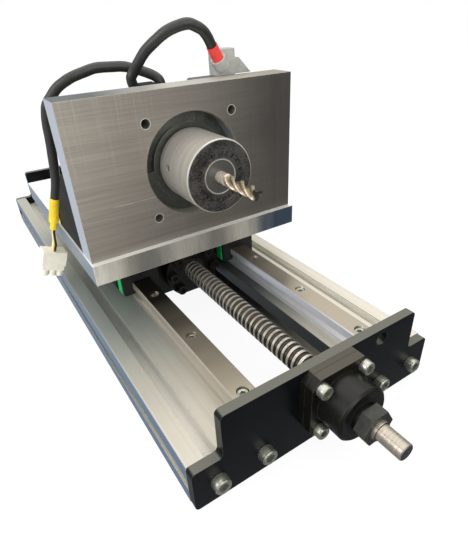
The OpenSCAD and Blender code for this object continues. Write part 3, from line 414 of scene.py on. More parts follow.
FINISHES = {
    # Its top colour is a painted reflection on the faces that look up.
    "plate_paint": Finish(
        "#05070A", "#0A0D11", roughness=0.32, spread=0.05, grain=300.0, bump=0.01, marks=0.3,
        marks_scale=25.0, wear="#4F534E", wear_width=0.0004, top="#63635A", specular=0.25,
    ),
    "gusset_black": Finish(
        "#0B0B0A", "#12110F", roughness=0.55, spread=0.05, grain=300.0, bump=0.02, marks=0.3,
        marks_scale=60.0, wear="#3A3935", wear_width=0.0003, specular=0.12,
    ),
    "zinc_steel": Finish(
        "#CBCCBE", "#94958A", metallic=0.85, roughness=0.26, grain=700.0, marks=0.35, marks_scale=180.0,
    ),
    # Its top colour is a painted reflection on the up-facing faces above top_from.
    "black_oxide": Finish(
        "#0C0C0A", "#15140F", roughness=0.3, spread=0.05, grain=300.0, bump=0.02, marks=0.4,
        marks_scale=60.0, wear="#454139", wear_width=0.0004, top="#4A453B", top_from=0.058, specular=0.3,
    ),
    "dark_steel": Finish(
        "#3E3E38", "#2A2A26", metallic=0.4, roughness=0.34, spread=0.06, grain=500.0, marks=0.4,
        marks_scale=80.0, wear="#7B796E", wear_width=0.0004,
    ),
    "bearing_steel": Finish("#C9CACA", "#9A9A98", metallic=1.0, roughness=0.16, spread=0.05),
    "seal_rubber": Finish("#0B0B0C", "#151515", roughness=0.6, grain=500.0, bump=0.08),
    "block_steel": Finish(
        "#0E0F11", "#08090A", metallic=0.1, roughness=0.42, spread=0.06, grain=LINES_ALONG_Y, bump=0.03,
        marks=0.4, marks_scale=60.0, wear="#2C2E35", wear_width=0.0003,
    ),
    "cap_green": Finish(
        "#1FD879", "#12B25C", roughness=0.34, spread=0.06, grain=300.0, bump=0.02, marks=0.2,
        marks_scale=80.0, coat=0.2,
    ),
    "wiper_felt": Finish("#DAD6C9", "#A9A494", roughness=0.9, spread=0.05, grain=1500.0, bump=0.4),
    "motor_paint": Finish(
        "#141514", "#1E1F1D", roughness=0.38, spread=0.1, grain=700.0, bump=0.1, marks=0.4,
        marks_scale=40.0, wear="#3A3B3D",
    ),
    "flange_aluminium": Finish(
        "#5C5F5A", "#464843", metallic=0.45, roughness=0.36, spread=0.06, grain=(900.0, 40.0, 900.0),
        marks=0.35, marks_scale=50.0, wear="#A9ACA8", wear_width=0.0004,
    ),
    "cable_black": Finish("#232422", "#2C2D2B", grain=500.0, marks=0.4, marks_scale=70.0),
    "sleeve_red": Finish("#F24640", "#D23630", roughness=0.42, bump=0.06, marks=0.3, marks_scale=90.0),
    "hood_grey": Finish(
        "#B4B4B0", "#989994", roughness=0.46, spread=0.06, grain=900.0, bump=0.06, marks=0.3,
        marks_scale=60.0, wear="#C6C7C2",
    ),
    "sleeve_yellow": Finish("#F8DA2E", "#E3B91B", roughness=0.42, bump=0.06, marks=0.35, marks_scale=90.0),
    "wire_yellow": Finish("#F6D81C", "#E6C314"),
    "wire_black": Finish("#141414", "#202020", roughness=0.42),
    "wire_white": Finish("#F1EEE4", "#DAD6C9", roughness=0.42),
    "plug_cream": Finish(
        "#F5F0E0", "#E3DBC7", roughness=0.45, spread=0.06, grain=600.0, marks=0.3, marks_scale=90.0,
        wear="#FBF8EE", wear_width=0.0005,
    ),
    "shaft_steel": Finish(
        "#B5B2AC", "#83807A", metallic=1.0, roughness=0.24, spread=0.06, grain=(900.0, 40.0, 900.0),
        bump=0.05,
    ),
}


class MaterialKit:
    """Makes the materials; they share the node groups."""

    def __init__(self) -> None:
        """Builds the node groups."""
        self.edge_wear = edge_wear_group()
        self.grain = grain_group()
        self.smudge = smudge_group()
        self.turned = turned_group()
        self.speckle = speckle_group()
        self.made: dict[str, Material] = {}

    def start(self, name: str) -> tuple[Graph, Node, NodeSocket]:
        """Starts a material.

        Args:
            name: Name of the surface.

        Returns:
            Its graph, its shader and its Object coordinates.
        """
        material = bpy.data.materials.new("m_" + name)
        material.use_nodes = True
        graph = Graph(material.node_tree)
        shader = material.node_tree.nodes["Principled BSDF"]
        place = graph.node("ShaderNodeTexCoord").outputs["Object"]
        self.made[name] = material
        return graph, shader, place

    def wear_mask(self, g: Graph, place: Value, width: float, breakup: float = 0.6) -> NodeSocket:
        """Adds the worn edge mask and returns it."""
        inputs = {"Vector": place, "Width": width, "Breakup": breakup}
        return g.group(self.edge_wear, inputs).outputs["Mask"]

    def facing(self, g: Graph) -> NodeOutputs:
        """Adds the direction that a face looks in and returns its three parts."""
        normal = g.node("ShaderNodeNewGeometry").outputs["Normal"]
        return g.axes(normal)

    def toward(self, g: Graph, axis: str, low: float = 0.6, high: float = 0.9) -> NodeSocket:
        """Masks the faces that look toward an axis's low end and returns the mask."""
        return g.remap(g.mul(self.facing(g)[axis], -1.0), low, high)

    def dress(
        self, g: Graph, shader: Node, color: Value, metallic: Value, roughness: Value, normal: Value
    ) -> None:
        """Feeds a surface's colour, metal, roughness and normal to its shader."""
        values = {"Base Color": color, "Metallic": metallic, "Roughness": roughness, "Normal": normal}
        for name, value in values.items():
            g.feed(shader.inputs[name], value)

    def plain(self, name: str, finish: Finish) -> None:
        """Makes one material from its finish.

        Args:
            name: Name of the surface.
            finish: What it is like.
        """
        g, shader, place = self.start(name)
        stretch = finish.grain if isinstance(finish.grain, tuple) else (finish.grain,) * 3
        grain = g.group(self.grain, {"Vector": place, "Stretch": stretch}).outputs
        marks = g.group(self.smudge, {"Vector": place, "Scale": finish.marks_scale}).outputs["Value"]
        color = g.mix(g.remap(grain["Tone"], 0.36, 0.6), finish.dark, finish.light)
        color = g.mix(g.mul(marks, finish.marks), color, finish.dark)
        low, high = finish.roughness - finish.spread, finish.roughness + finish.spread
        # Painted reflection: faces that look up, above top_from, take the top colour, as if mirroring the
        # bright room above.
        if finish.top:
            height = g.axes(place)["Z"]
            top_sheen = g.remap(self.facing(g)["Z"], 0.8, 0.98, 0.0, 0.9)
            top_sheen = g.mul(top_sheen, g.remap(height, finish.top_from - 0.001, finish.top_from))
            color = g.mix(top_sheen, color, finish.top)
        if finish.wear:
            mask = self.wear_mask(g, place, finish.wear_width)
            color = g.mix(mask, color, finish.wear)
        normal = g.bump(grain["Height"], finish.bump, RELIEF)
        self.dress(g, shader, color, finish.metallic, g.lerp(marks, low, high), normal)
        g.feed(shader.inputs["Specular IOR Level"], finish.specular)
        g.feed(shader.inputs["Coat Weight"], finish.coat)
        g.feed(shader.inputs["Coat Roughness"], 0.12)

    def head_aluminium(self) -> None:
        """Makes the brushed spindle plate: painted light at the left, painted shade at the right, fine
        scratches.
        """
        g, shader, place = self.start("head_aluminium")
        x, _, z = g.axes(place)
        upright = g.group(self.grain, {"Vector": place, "Stretch": (1500.0, 60.0, 22.0)}).outputs
        level = g.group(self.grain, {"Vector": place, "Stretch": (24.0, 60.0, 1300.0)}).outputs
        # Painted light and shade: light at the left, dark at the right, broken up by a soft cloud.
        across = g.remap(x, -0.084, 0.07)
        cloud = g.noise(place, 14.0, 3.0, 0.5)
        blend = g.add(across, g.mul(g.sub(cloud, 0.5), 0.35), clamp=True)
        color = g.mix(blend, "#B3ABA0", "#4F4C48")
        # Painted shade: darker towards the bottom of the plate.
        color = g.over(color, "#5A5751", z, 0.135, 0.085, 0.0, 0.45)
        color = g.over(color, "#4A4844", level["Tone"], 0.4, 0.62, 0.0, 0.3)
        # Real scratch lines, brightened mostly at the top left as a painted highlight where they catch the
        # light.
        top_left = g.mul(g.remap(z, 0.13, 0.185), g.remap(x, 0.0, -0.08))
        lines = g.remap(upright["Tone"], 0.52, 0.68)
        scratched = g.mul(lines, g.add(top_left, 0.08), clamp=True)
        color = g.mix(g.mul(scratched, 0.4), color, "#E6DFD2")
        wavy = g.add(z, g.mul(g.noise(place, 30.0, 1.0), 0.0012))
        one_line = g.math("COMPARE", wavy, 0.1186)
        one_line.node.inputs[2].default_value = 0.00022
        reach = g.remap(g.noise(place, 45.0, 2.0), 0.42, 0.55)
        scratch = g.mul(g.mul(one_line, g.remap(x, -0.01, -0.03)), reach)
        color = g.mix(g.mul(scratch, 0.6), color, "#D8D2C6")
        color = g.mix(self.wear_mask(g, place, 0.0006, 0.4), color, "#E8E4DA")
        # Painted cool light on the faces that look left.
        side = self.toward(g, "X")
        color = g.mix(side, color, "#B1B8C3")
        # Painted reflection on the faces that look up: bluish grey at the left, light in the middle, beige at
        # the right.
        edge = g.mix(g.remap(x, -0.06, -0.01), "#575C5F", "#BDB9B0")
        edge = g.over(edge, "#968E81", x, 0.02, 0.06)
        color = g.mix(g.remap(self.facing(g)["Z"], 0.8, 0.95), color, edge)
        hole_x = g.sub(g.math("ABSOLUTE", x), HEAD_HOLE_OUT)
        hole_z = g.sub(g.math("ABSOLUTE", g.sub(z, SPINDLE_Z)), HEAD_HOLE_OUT)
        from_hole = g.node("ShaderNodeCombineXYZ", {"X": hole_x, "Z": hole_z}).outputs[0]
        hole_r = g.node("ShaderNodeVectorMath", {0: from_hole}, operation="LENGTH").outputs["Value"]
        # Painted highlight on a thin ring round each hole, and painted shade on the hole's wall.
        color = g.over(color, "#D9D6CE", hole_r, HEAD_HOLE_R + 0.0005, HEAD_HOLE_R + 0.0003)
        color = g.over(color, "#8D8B86", hole_r, HEAD_HOLE_R + 0.0001, HEAD_HOLE_R)
        roughness = g.remap(level["Tone"], 0.35, 0.65, 0.42, 0.54)
        normal = g.bump(level["Height"], 0.1, RELIEF, g.bump(upright["Height"], 0.05, RELIEF))
        self.dress(g, shader, color, 0.5, roughness, normal)

    def saddle_aluminium(self) -> None:
        """Makes the milled saddle: painted reflection bands on the light grey front edge, which turns
        blue-black at the right.
        """
        g, shader, place = self.start("saddle_aluminium")
        x = g.axes(place)["X"]
        cuts = g.group(self.grain, {"Vector": place, "Stretch": (900.0, 25.0, 90.0)}).outputs
        broad = g.noise(g.scaled(place, (60.0, 6.0, 14.0)), 1.0, 2.0, 0.5)
        turn = g.remap(g.add(x, g.mul(g.sub(broad, 0.5), 0.04)), 0.035, 0.06)
        # Painted reflection: broad light and darker grey bands at a steady pitch.
        reflection_bands = g.math("COSINE", g.mul(g.add(x, SADDLE_REFLECTION_OUT), math.tau / SADDLE_REFLECTION_PITCH))
        reflection_bands = g.add(reflection_bands, g.mul(g.sub(broad, 0.5), 1.5))
        color = g.mix(g.remap(reflection_bands, -0.7, 0.9), "#BDB9B0", "#85837D")
        # Painted light: lighter towards the far left.
        color = g.over(color, "#E6E2DA", x, -0.06, -0.085)
        # Painted reflection: with the mask turn, the front faces go blue-black towards the right, as if
        # mirroring a dark room.
        front = self.toward(g, "Y")
        color = g.mix(g.mul(turn, front), color, "#3C4B5E")
        color = g.over(color, "#6A6A68", cuts["Tone"], 0.45, 0.65, 0.0, 0.35)
        # Painted cool light on the faces that look left.
        side = self.toward(g, "X")
        color = g.mix(side, color, "#808D9C")
        # Painted highlight: the faces that look up go near white.
        color = g.over(color, "#FAF9F6", self.facing(g)["Z"], 0.8, 0.95)
        color = g.mix(self.wear_mask(g, place, 0.0006, 0.3), color, "#F2F0EA")
        roughness = g.remap(cuts["Tone"], 0.35, 0.65, 0.28, 0.42)
        normal = g.bump(cuts["Height"], 0.06, RELIEF)
        self.dress(g, shader, color, 0.5, roughness, normal)

    def ball_screw_steel(self, axis: Point, root_m: float, crest_m: float) -> None:
        """Makes the ball screw's steel: bright ground lands, grooves darkened with painted shade, and fine
        turning rings.

        Args:
            axis: A point on the screw's axis.
            root_m: Radius of the groove's bottom.
            crest_m: Radius of the lands.
        """
        g, shader, place = self.start("ball_screw_steel")
        turned = g.group(self.turned, {"Vector": place, "Center": axis, "Rings": 2600.0}).outputs
        radius = turned["Radius"]
        land = g.mix(g.remap(turned["Tone"], 0.35, 0.65), "#F0E8DA", "#A89F90")
        # Painted shade in the grooves: darker towards their bottom, and near black in patches at the root.
        groove = g.mix(g.remap(radius, root_m + 0.0005, crest_m - 0.0002), "#655E55", "#BCB3A3")
        marks = g.group(self.smudge, {"Vector": place, "Scale": 90.0}).outputs["Value"]
        groove_shade = g.mul(g.remap(radius, root_m + 0.0006, root_m + 0.0002), g.remap(marks, 0.0, 1.0, 0.5, 0.9))
        groove = g.mix(groove_shade, groove, "#12100D")
        color = g.mix(g.remap(radius, crest_m - 0.00018, crest_m - 0.00008), groove, land)
        journal = g.mix(g.remap(turned["Tone"], 0.35, 0.65), "#BDB5A7", "#968D7F")
        color = g.mix(g.remap(radius, root_m - 0.0002, root_m - 0.0004), color, journal)
        # Painted shade on the faces that look forward.
        front = self.toward(g, "Y", 0.8, 0.95)
        color = g.mix(front, color, "#4B4C50")
        roughness = g.remap(turned["Tone"], 0.35, 0.65, 0.18, 0.3)
        normal = g.bump(turned["Tone"], 0.06, 0.0002)
        self.dress(g, shader, color, 0.68, roughness, normal)

    def holder_steel(self, axis: Point, face_y: float) -> None:
        """Makes the tool holder: satin turned wall, and a front face of blackened rings with a painted
        highlight ring.

        Args:
            axis: A point on the spindle's axis.
            face_y: Place of the front face along Y.
        """
        g, shader, place = self.start("holder_steel")
        turned = g.group(self.turned, {"Vector": place, "Center": axis, "Rings": 3000.0}).outputs
        radius, angle = turned["Radius"], turned["Angle"]
        y = g.axes(place)["Y"]
        wall = g.mix(g.remap(turned["Tone"], 0.35, 0.65), "#CFCAC1", "#A8A299")
        mottle = g.group(self.speckle, {"Vector": place, "Scale": 900.0, "Cover": 0.42}).outputs["Mask"]
        black = g.mix(g.mul(mottle, 0.8), "#282726", "#54524E")
        around = g.node("ShaderNodeCombineXYZ", {"X": g.mul(angle, 4.2)}).outputs[0]
        pits = g.remap(g.noise(around, 2.3, 2.0, 0.6), 0.5, 0.58)
        pit_band = g.mul(g.remap(radius, 0.0137, 0.0141), g.remap(radius, 0.0166, 0.0162))
        black = g.mix(g.mul(pits, pit_band), black, "#050505")
        inner = g.remap(radius, 0.0113, 0.0111)
        disc = g.mix(g.remap(turned["Tone"], 0.35, 0.65), "#73716D", "#585652")
        face = g.mix(inner, black, disc)
        # Painted highlight: a bright ring at the edge of the inner disc.
        rim_highlight = g.mul(g.remap(radius, 0.0106, 0.0108), g.remap(radius, 0.0114, 0.0112))
        face = g.mix(g.mul(rim_highlight, 0.8), face, "#E4DFD5")
        on_face = g.mul(g.remap(y, face_y + 0.0009, face_y + 0.0006), g.remap(radius, 0.0234, 0.0231))
        color = g.mix(on_face, wall, face)
        blackened = g.mul(on_face, g.sub(1.0, inner))
        roughness = g.lerp(blackened, 0.32, 0.5)
        normal = g.bump(turned["Tone"], 0.08, 0.0002)
        self.dress(g, shader, color, g.lerp(blackened, 0.55, 0.3), roughness, normal)

    def profile_aluminium(self) -> None:
        """Makes the drawn side profiles, with painted light and shade: light in front, greener near the
        saddle, bluish outer walls.
        """
        g, shader, place = self.start("anodised_aluminium")
        x, y, z = g.axes(place)
        drawn = g.group(self.grain, {"Vector": place, "Stretch": LINES_ALONG_Y}).outputs
        marks = g.group(self.smudge, {"Vector": place, "Scale": 12.0}).outputs["Value"]
        # Painted light and shade along the bed: dark greenish near the saddle, lighter in front and behind
        # it, lighter still past the right rail.
        front = g.remap(g.add(y, g.mul(marks, 0.02)), -0.07, -0.17)
        past_rail = g.remap(x, 0.053, 0.056)
        light = g.math("MAXIMUM", front, past_rail)
        light = g.math("MAXIMUM", light, g.remap(y, 0.0, 0.14, 0.0, 0.6))
        color = g.mix(light, "#8B918B", "#C9C3B5")
        color = g.mix(past_rail, color, "#E0DACC")
        # Painted shade on the strip left of the right rail, from near the saddle backwards.
        near = g.mul(g.remap(x, 0.028, 0.03), g.remap(x, 0.056, 0.053))
        shaded = g.mul(near, g.remap(y, -0.16, -0.09))
        color = g.mix(shaded, color, "#3B3D3C")
        color = g.over(color, "#7F807A", drawn["Tone"], 0.4, 0.62, 0.0, 0.2)
        # Painted cool light on the outermost wall that looks left.
        aside = self.toward(g, "X")
        outer = g.mul(aside, g.remap(x, -0.0868, -0.0875))
        color = g.mix(outer, color, "#6A7C95")
        # Painted shade on the right profile's inner wall that looks left.
        inner = g.remap(x, PROFILE_IN + 0.002, PROFILE_IN + 0.001)
        inner = g.mul(inner, g.remap(x, 0.0, 0.01))
        color = g.mix(g.mul(aside, inner), color, "#3E4141")
        color = g.mix(self.wear_mask(g, place, 0.0003, 0.4), color, "#E4E1D9")
        # Painted light inside the slots of the profile tops, stronger in front, with less metal there.
        slot_light = g.remap(z, PROFILE_TOP - 0.0006, PROFILE_TOP - 0.001)
        left = g.mul(g.remap(x, -0.0868, -0.086), g.remap(x, -0.05, -0.06))
        left = g.mul(left, g.lerp(light, 0.12, 0.5))
        shallow = g.remap(z, PROFILE_TOP - 0.007, PROFILE_TOP - 0.006)
        right = g.mul(g.remap(x, 0.06, 0.062), shallow)
        slot_light = g.mul(slot_light, g.add(left, right))
        color = g.mix(slot_light, color, "#FFFDF6")
        roughness = g.lerp(marks, 0.4, 0.5)
        normal = g.bump(drawn["Height"], 0.02, RELIEF)
        self.dress(g, shader, color, g.lerp(slot_light, 0.45, 0.1), roughness, normal)

    def rail_steel(self) -> None:
        """Makes the ground rails: painted shade near the saddle, painted light in front, painted highlights
        on the raceway walls.
        """
        g, shader, place = self.start("rail_steel")
        x, y, _ = g.axes(place)
        ground = g.group(self.grain, {"Vector": place, "Stretch": LINES_ALONG_Y}).outputs
        # Painted shade near the saddle, lifting to painted light in front and towards the right.
        cloud = g.noise(g.scaled(place, (1.0, 28.0, 1.0)), 1.0, 1.0, 0.5)
        front = g.remap(g.add(y, g.mul(cloud, 0.08)), -0.05, -0.155)
        light = g.add(front, g.remap(x, 0.0, 0.05, 0.0, 0.5), clamp=True)
        color = g.mix(light, "#24221E", "#B0A694")
        # Painted highlight on the walls that look left: warm on the left rail, bluish on the right.
        aside = self.toward(g, "X", 0.5, 0.8)
        color = g.mix(aside, color, g.mix(g.remap(x, -0.01, 0.01), "#B3AA9D", "#E2E4EA"))
        roughness = 0.3
        normal = g.bump(ground["Height"], 0.004, RELIEF)
        self.dress(g, shader, color, 0.6, roughness, normal)

    def tool_carbide(self, axis: Point, tip_y: float, shank_y: float) -> None:
        """Makes the end mill: pale ground lands and shank, flutes darkened with painted shade, and a dark
        tip.

        Args:
            axis: A point on the spindle's axis.
            tip_y: Place of the tip along Y.
            shank_y: Where the plain shank starts.
        """
        g, shader, place = self.start("tool_carbide")
        turned = g.group(self.turned, {"Vector": place, "Center": axis, "Rings": 4000.0}).outputs
        along = g.axes(place)["Y"]
        marks = g.group(self.smudge, {"Vector": place, "Scale": 420.0}).outputs["Value"]
        fluted = g.remap(along, shank_y, shank_y - 0.001)
        color = g.mix(marks, "#D8C9AE", "#A39478")
        # Painted shade deep in the flutes.
        flute_shade = g.remap(turned["Radius"], 0.0036, 0.0026)
        color = g.mix(g.mul(flute_shade, 0.85), color, "#5A4E3E")
        color = g.mix(fluted, "#D5CBBF", color)
        color = g.over(color, "#4A443A", along, tip_y + 0.0016, tip_y + 0.0004)
        roughness = g.remap(marks, 0.0, 1.0, 0.2, 0.34)
        normal = g.bump(turned["Tone"], 0.04, 0.0002)
        self.dress(g, shader, color, 0.6, roughness, normal)

    def make_all(self) -> dict[str, Material]:
        """Makes every material.

        Returns:
            The materials by surface name.
        """
        for name, finish in FINISHES.items():
            self.plain(name, finish)
        self.profile_aluminium()
        self.rail_steel()
        self.tool_carbide((0.0, 0.0, SPINDLE_Z), HOLDER_Y0 - TOOL_REACH, HOLDER_Y0 - SHANK_REACH)
        self.head_aluminium()
        self.saddle_aluminium()
        self.ball_screw_steel((0.0, 0.0, SCREW_Z), THREAD.root_r, THREAD.crest_r)
        self.holder_steel((0.0, 0.0, SPINDLE_Z), HOLDER_Y0)
        return self.made


# ---------------------------------------------------------------------------
# Geometry
# ---------------------------------------------------------------------------


def add_object(name: str, mesh: Mesh) -> Object:
    """Links a new object that shows a mesh, at the origin."""
    obj = bpy.data.objects.new(name, mesh)
    bpy.context.scene.collection.objects.link(obj)
    return obj


def finish_mesh(mesh: Mesh, sharp_deg: float = 32.0) -> Mesh:
    """Turns the faces outward, smooths them, and keeps edges sharper than an angle.

    Args:
        mesh: The closed mesh.
        sharp_deg: Angle above which an edge stays sharp.

    Returns:
        The same mesh.
    """
    work = bmesh.new()
    work.from_mesh(mesh)
    bmesh.ops.recalc_face_normals(work, faces=work.faces)
    work.to_mesh(mesh)
    work.free()
    mesh.polygons.foreach_set("use_smooth", [True] * len(mesh.polygons))
    mesh.set_sharp_from_angle(angle=math.radians(sharp_deg))
    return mesh


def skin(name: str, rings: Sequence[Sequence[Vector]]) -> Mesh:
    """Joins rings of equally many points into a closed mesh, with a flat end on the first and the last.

    Args:
        name: Name of the mesh.
        rings: The rings, in order.

    Returns:
        The mesh.
    """
    count = len(rings[0])
    faces = [
        (i * count + k, i * count + (k + 1) % count, (i + 1) * count + (k + 1) % count, (i + 1) * count + k)
        for i in range(len(rings) - 1)
        for k in range(count)
    ]
    faces.append(tuple(range(count)))
    faces.append(tuple((len(rings) - 1) * count + k for k in range(count)))
    mesh = bpy.data.meshes.new(name)
    mesh.from_pydata([point for ring in rings for point in ring], [], faces)
    return finish_mesh(mesh)


def turn_steps(count: int) -> list[float]:
    """Angles of equal steps round a circle."""
    return [2 * math.pi * k / count for k in range(count)]


def lathe_y(name: str, section: Sequence[tuple[float, float]], z: float, sides: int = 96) -> Mesh:
    """Turns a section round an axis along Y.

    Args:
        name: Name of the mesh.
        section: Radius and place along Y of each point, in metres.
        z: Height of the axis.
        sides: Steps round the axis.

    Returns:
        The closed mesh.
    """
    angles = turn_steps(sides)
    rings = [[Vector((r * math.cos(a), y, z + r * math.sin(a))) for a in angles] for r, y in section]
    return skin(name, rings)


def hex_radius(angle: float, flats_m: float) -> float:
    """Distance from the middle to a hexagon's edge in one direction."""
    part = (angle % (math.pi / 3)) - math.pi / 6
    return flats_m / 2 / math.cos(part)


def ring_z(reach: Sequence[float], angles: Sequence[float], z: float) -> Ring:
    """Points round the Z axis at a height, each at its own reach and angle."""
    return [Vector((r * math.cos(a), r * math.sin(a), z)) for r, a in zip(reach, angles)]


def cap_screw_mesh(size_m: float, shank_m: float, knurls: int = 36) -> Mesh:
    """Builds a socket head screw that stands on z = 0, with a knurled wall, chamfers and a hexagon socket.

    Args:
        size_m: Thread size.
        shank_m: Length of shank under the head.
        knurls: Number of ridges round the head.

    Returns:
        The closed mesh.
    """
    radius = 0.75 * size_m + 0.0005
    angles = turn_steps(2 * knurls)
    flats = size_m - 0.001

    def ring(r: float, z: float, cut: float = 0.0) -> Ring:
        """Points of a circle, with every second one set in by the cut."""
        return ring_z([r - cut * (k % 2) for k in range(len(angles))], angles, z)

    def hexagon(z: float, share: float = 1.0) -> Ring:
        """Points of the socket's edge, or of a share of its size."""
        return ring_z([share * hex_radius(a, flats) for a in angles], angles, z)

    step = 0.04 * size_m
    rings = [
        ring(size_m / 2 * 0.9, -shank_m), ring(size_m / 2, -shank_m + step), ring(size_m / 2, 0.0),
        ring(radius - step, 0.0), ring(radius - step / 3, step), ring(radius, 1.8 * step, step / 2),
        ring(radius, size_m * 0.74, step / 2), ring(radius - step / 2, size_m * 0.78),
        ring(radius - step / 2, size_m * 0.9), ring(radius - 2.2 * step, size_m), ring(flats * 0.62, size_m),
        hexagon(size_m * 0.97), hexagon(size_m * 0.5), hexagon(size_m * 0.44, 0.4),
    ]
    return skin(f"cap_screw_{round(size_m / MM)}", rings)


def set_screw_mesh(
    name: str, base: Vector, along: Vector, length: float, radius: float, flats_m: float
) -> Mesh:
    """Builds a headless screw with a hexagon socket in its outer end.

    Args:
        name: Name of the mesh.
        base: Middle of its inner end.
        along: Direction of its outer end.
        length: Its length.
        radius: Its radius.
        flats_m: Width of the socket across its flats.

    Returns:
        The closed mesh.
    """
    angles = turn_steps(48)

    def ring(r: float, z: float) -> Ring:
        """Points of a circle."""
        return ring_z([r] * len(angles), angles, z)

    def hexagon(z: float, share: float = 1.0) -> Ring:
        """Points of the socket's edge, or of a share of its size."""
        return ring_z([share * hex_radius(a, flats_m) for a in angles], angles, z)

    step = 0.12 * radius
    rings = [
        ring(radius, 0.0), ring(radius, length - step), ring(radius - step, length),
        ring(flats_m * 0.64, length), hexagon(length - step / 2), hexagon(0.4 * length),
        hexagon(0.36 * length, 0.3),
    ]
    mesh = skin(name, rings)
    mesh.transform(Matrix.Translation(base) @ along.to_track_quat("Z", "Y").to_matrix().to_4x4())
    return mesh


@dataclass(frozen=True)
class ScrewPlace:
    """Where a screw's head seats and which way it faces."""

    seat: Vector
    facing: Vector
    size_m: float


def loose_parts(mesh: Mesh) -> list[list[Vector]]:
    """Splits a mesh into the vertices of its separate solids."""
    work = bmesh.new()
    work.from_mesh(mesh)
    bmesh.ops.remove_doubles(work, verts=work.verts, dist=1e-7)
    seen: set[bmesh.types.BMVert] = set()
    parts = []
    for start in work.verts:
        if start in seen:
            continue
        seen.add(start)
        stack, part = [start], []
        while stack:
            vert = stack.pop()
            part.append(vert.co.copy())
            for edge in vert.link_edges:
                other = edge.other_vert(vert)
                if other not in seen:
                    seen.add(other)
                    stack.append(other)
        parts.append(part)
    work.free()
    return parts


def read_screw(points: Sequence[Vector]) -> ScrewPlace:
    """Reads a screw's seat, facing and size off the vertices of its CAD solid.

    Args:
        points: The solid's vertices.

    Returns:
        The screw's place.
    """
    low = [min(p[i] for p in points) for i in range(3)]
    high = [max(p[i] for p in points) for i in range(3)]
    along = max(range(3), key=lambda i: high[i] - low[i])
    across = [i for i in range(3) if i != along]
    middle = Vector([(a + b) / 2 for a, b in zip(low, high)])

    def reach(end: float) -> float:
        """Largest distance from the axis among the points at one end."""
        near = [p for p in points if abs(p[along] - end) < 2e-5]
        return max(math.hypot(*(p[i] - middle[i] for i in across)) for p in near)

    head_high = reach(high[along]) > reach(low[along])
    shank = reach(low[along] if head_high else high[along])
    size = 2 * shank
    facing = Vector((0.0, 0.0, 0.0))
    facing[along] = 1.0 if head_high else -1.0
    seat = middle.copy()
    seat[along] = (high[along] - size) if head_high else (low[along] + size)
    return ScrewPlace(seat, facing, size)


def scatter_group() -> NodeTree:
    """Builds the Geometry Nodes group that sets a prototype on every point.

    Each copy is turned to face along Facing, then spun round its own axis by a seeded random angle.

    Returns:
        The node group, with its named inputs.
    """
    tree = bpy.data.node_groups.new("scatter", "GeometryNodeTree")
    new_socket = tree.interface.new_socket
    new_socket(name="Geometry", in_out="INPUT", socket_type="NodeSocketGeometry")
    new_socket(name="Prototype", in_out="INPUT", socket_type="NodeSocketObject")
    new_socket(name="Facing", in_out="INPUT", socket_type="NodeSocketVector")
    new_socket(name="Spin", in_out="INPUT", socket_type="NodeSocketFloat")
    new_socket(name="Seed", in_out="INPUT", socket_type="NodeSocketInt")
    new_socket(name="Material", in_out="INPUT", socket_type="NodeSocketMaterial")
    new_socket(name="Geometry", in_out="OUTPUT", socket_type="NodeSocketGeometry")
    g = Graph(tree)
    given = g.node("NodeGroupInput").outputs
    prototype = g.node("GeometryNodeObjectInfo", {"Object": given["Prototype"]}).outputs["Geometry"]
    align = g.node("FunctionNodeAlignRotationToVector", {"Vector": given["Facing"]}, axis="Z").outputs[0]
    inputs = {"Points": given["Geometry"], "Instance": prototype, "Rotation": align}
    placed = g.node("GeometryNodeInstanceOnPoints", inputs).outputs[0]
    chance = g.node("FunctionNodeRandomValue", {"Seed": given["Seed"]}, data_type="FLOAT")
    value = next(s for s in chance.outputs if s.enabled and s.type == "VALUE")
    angle = g.mul(value, given["Spin"])
    turn = g.node("ShaderNodeCombineXYZ", {"Z": angle}).outputs[0]
    spin = g.node("FunctionNodeEulerToRotation", {0: turn}).outputs[0]
    turned = g.node("GeometryNodeRotateInstances", {"Instances": placed, "Rotation": spin}).outputs[0]
    real = g.node("GeometryNodeRealizeInstances", {0: turned}).outputs[0]
    painted = g.node("GeometryNodeSetMaterial", {"Geometry": real, "Material": given["Material"]}).outputs[0]
    g.feed(g.node("NodeGroupOutput").inputs[0], painted)
    return tree


def baked(obj: Object) -> Mesh:
    """Applies an object's modifiers and returns the plain mesh; the modifiers are removed."""
    graph = bpy.context.evaluated_depsgraph_get()
    mesh = bpy.data.meshes.new_from_object(obj.evaluated_get(graph))
    obj.modifiers.clear()
    return mesh


def cut(body: Mesh, tool: Mesh) -> Mesh:
    """Cuts one closed mesh out of another and returns the plain mesh."""
    holder, cutter = add_object("cut_body", body), add_object("cut_tool", tool)
    modifier = holder.modifiers.new("cut", "BOOLEAN")
    modifier.operation, modifier.solver, modifier.object = "DIFFERENCE", "EXACT", cutter
    mesh = baked(holder)
    bpy.data.objects.remove(holder)
    bpy.data.objects.remove(cutter)
    return finish_mesh(mesh)


def scattered(
    tree: NodeTree,
    prototype: Mesh,
    points: Sequence[Vector],
    facing: Vector,
    spin: float,
    material: Material,
) -> Mesh:
    """Sets a prototype on points with the Geometry Nodes group and returns the plain mesh.

    Args:
        tree: The scatter group.
        prototype: Mesh that stands on z = 0.
        points: Where the copies stand.
        facing: Direction of the copies' Z.
        spin: Largest random turn round their own axis, in radians.
        material: Their material.

    Returns:
        The joined mesh.
    """
    model = add_object("prototype", prototype)
    cloud = bpy.data.meshes.new("points")
    cloud.from_pydata([tuple(p) for p in points], [], [])
    holder = add_object("scatter", cloud)
    modifier = holder.modifiers.new("scatter", "NODES")
    modifier.node_group = tree
    values = {"Prototype": model, "Facing": tuple(facing), "Spin": spin, "Seed": SEED, "Material": material}
    for item in tree.interface.items_tree:
        if getattr(item, "in_out", "") == "INPUT" and item.name in values:
            modifier[item.identifier] = values[item.name]
    mesh = baked(holder)
    bpy.data.objects.remove(holder)
    bpy.data.objects.remove(model)
    return mesh


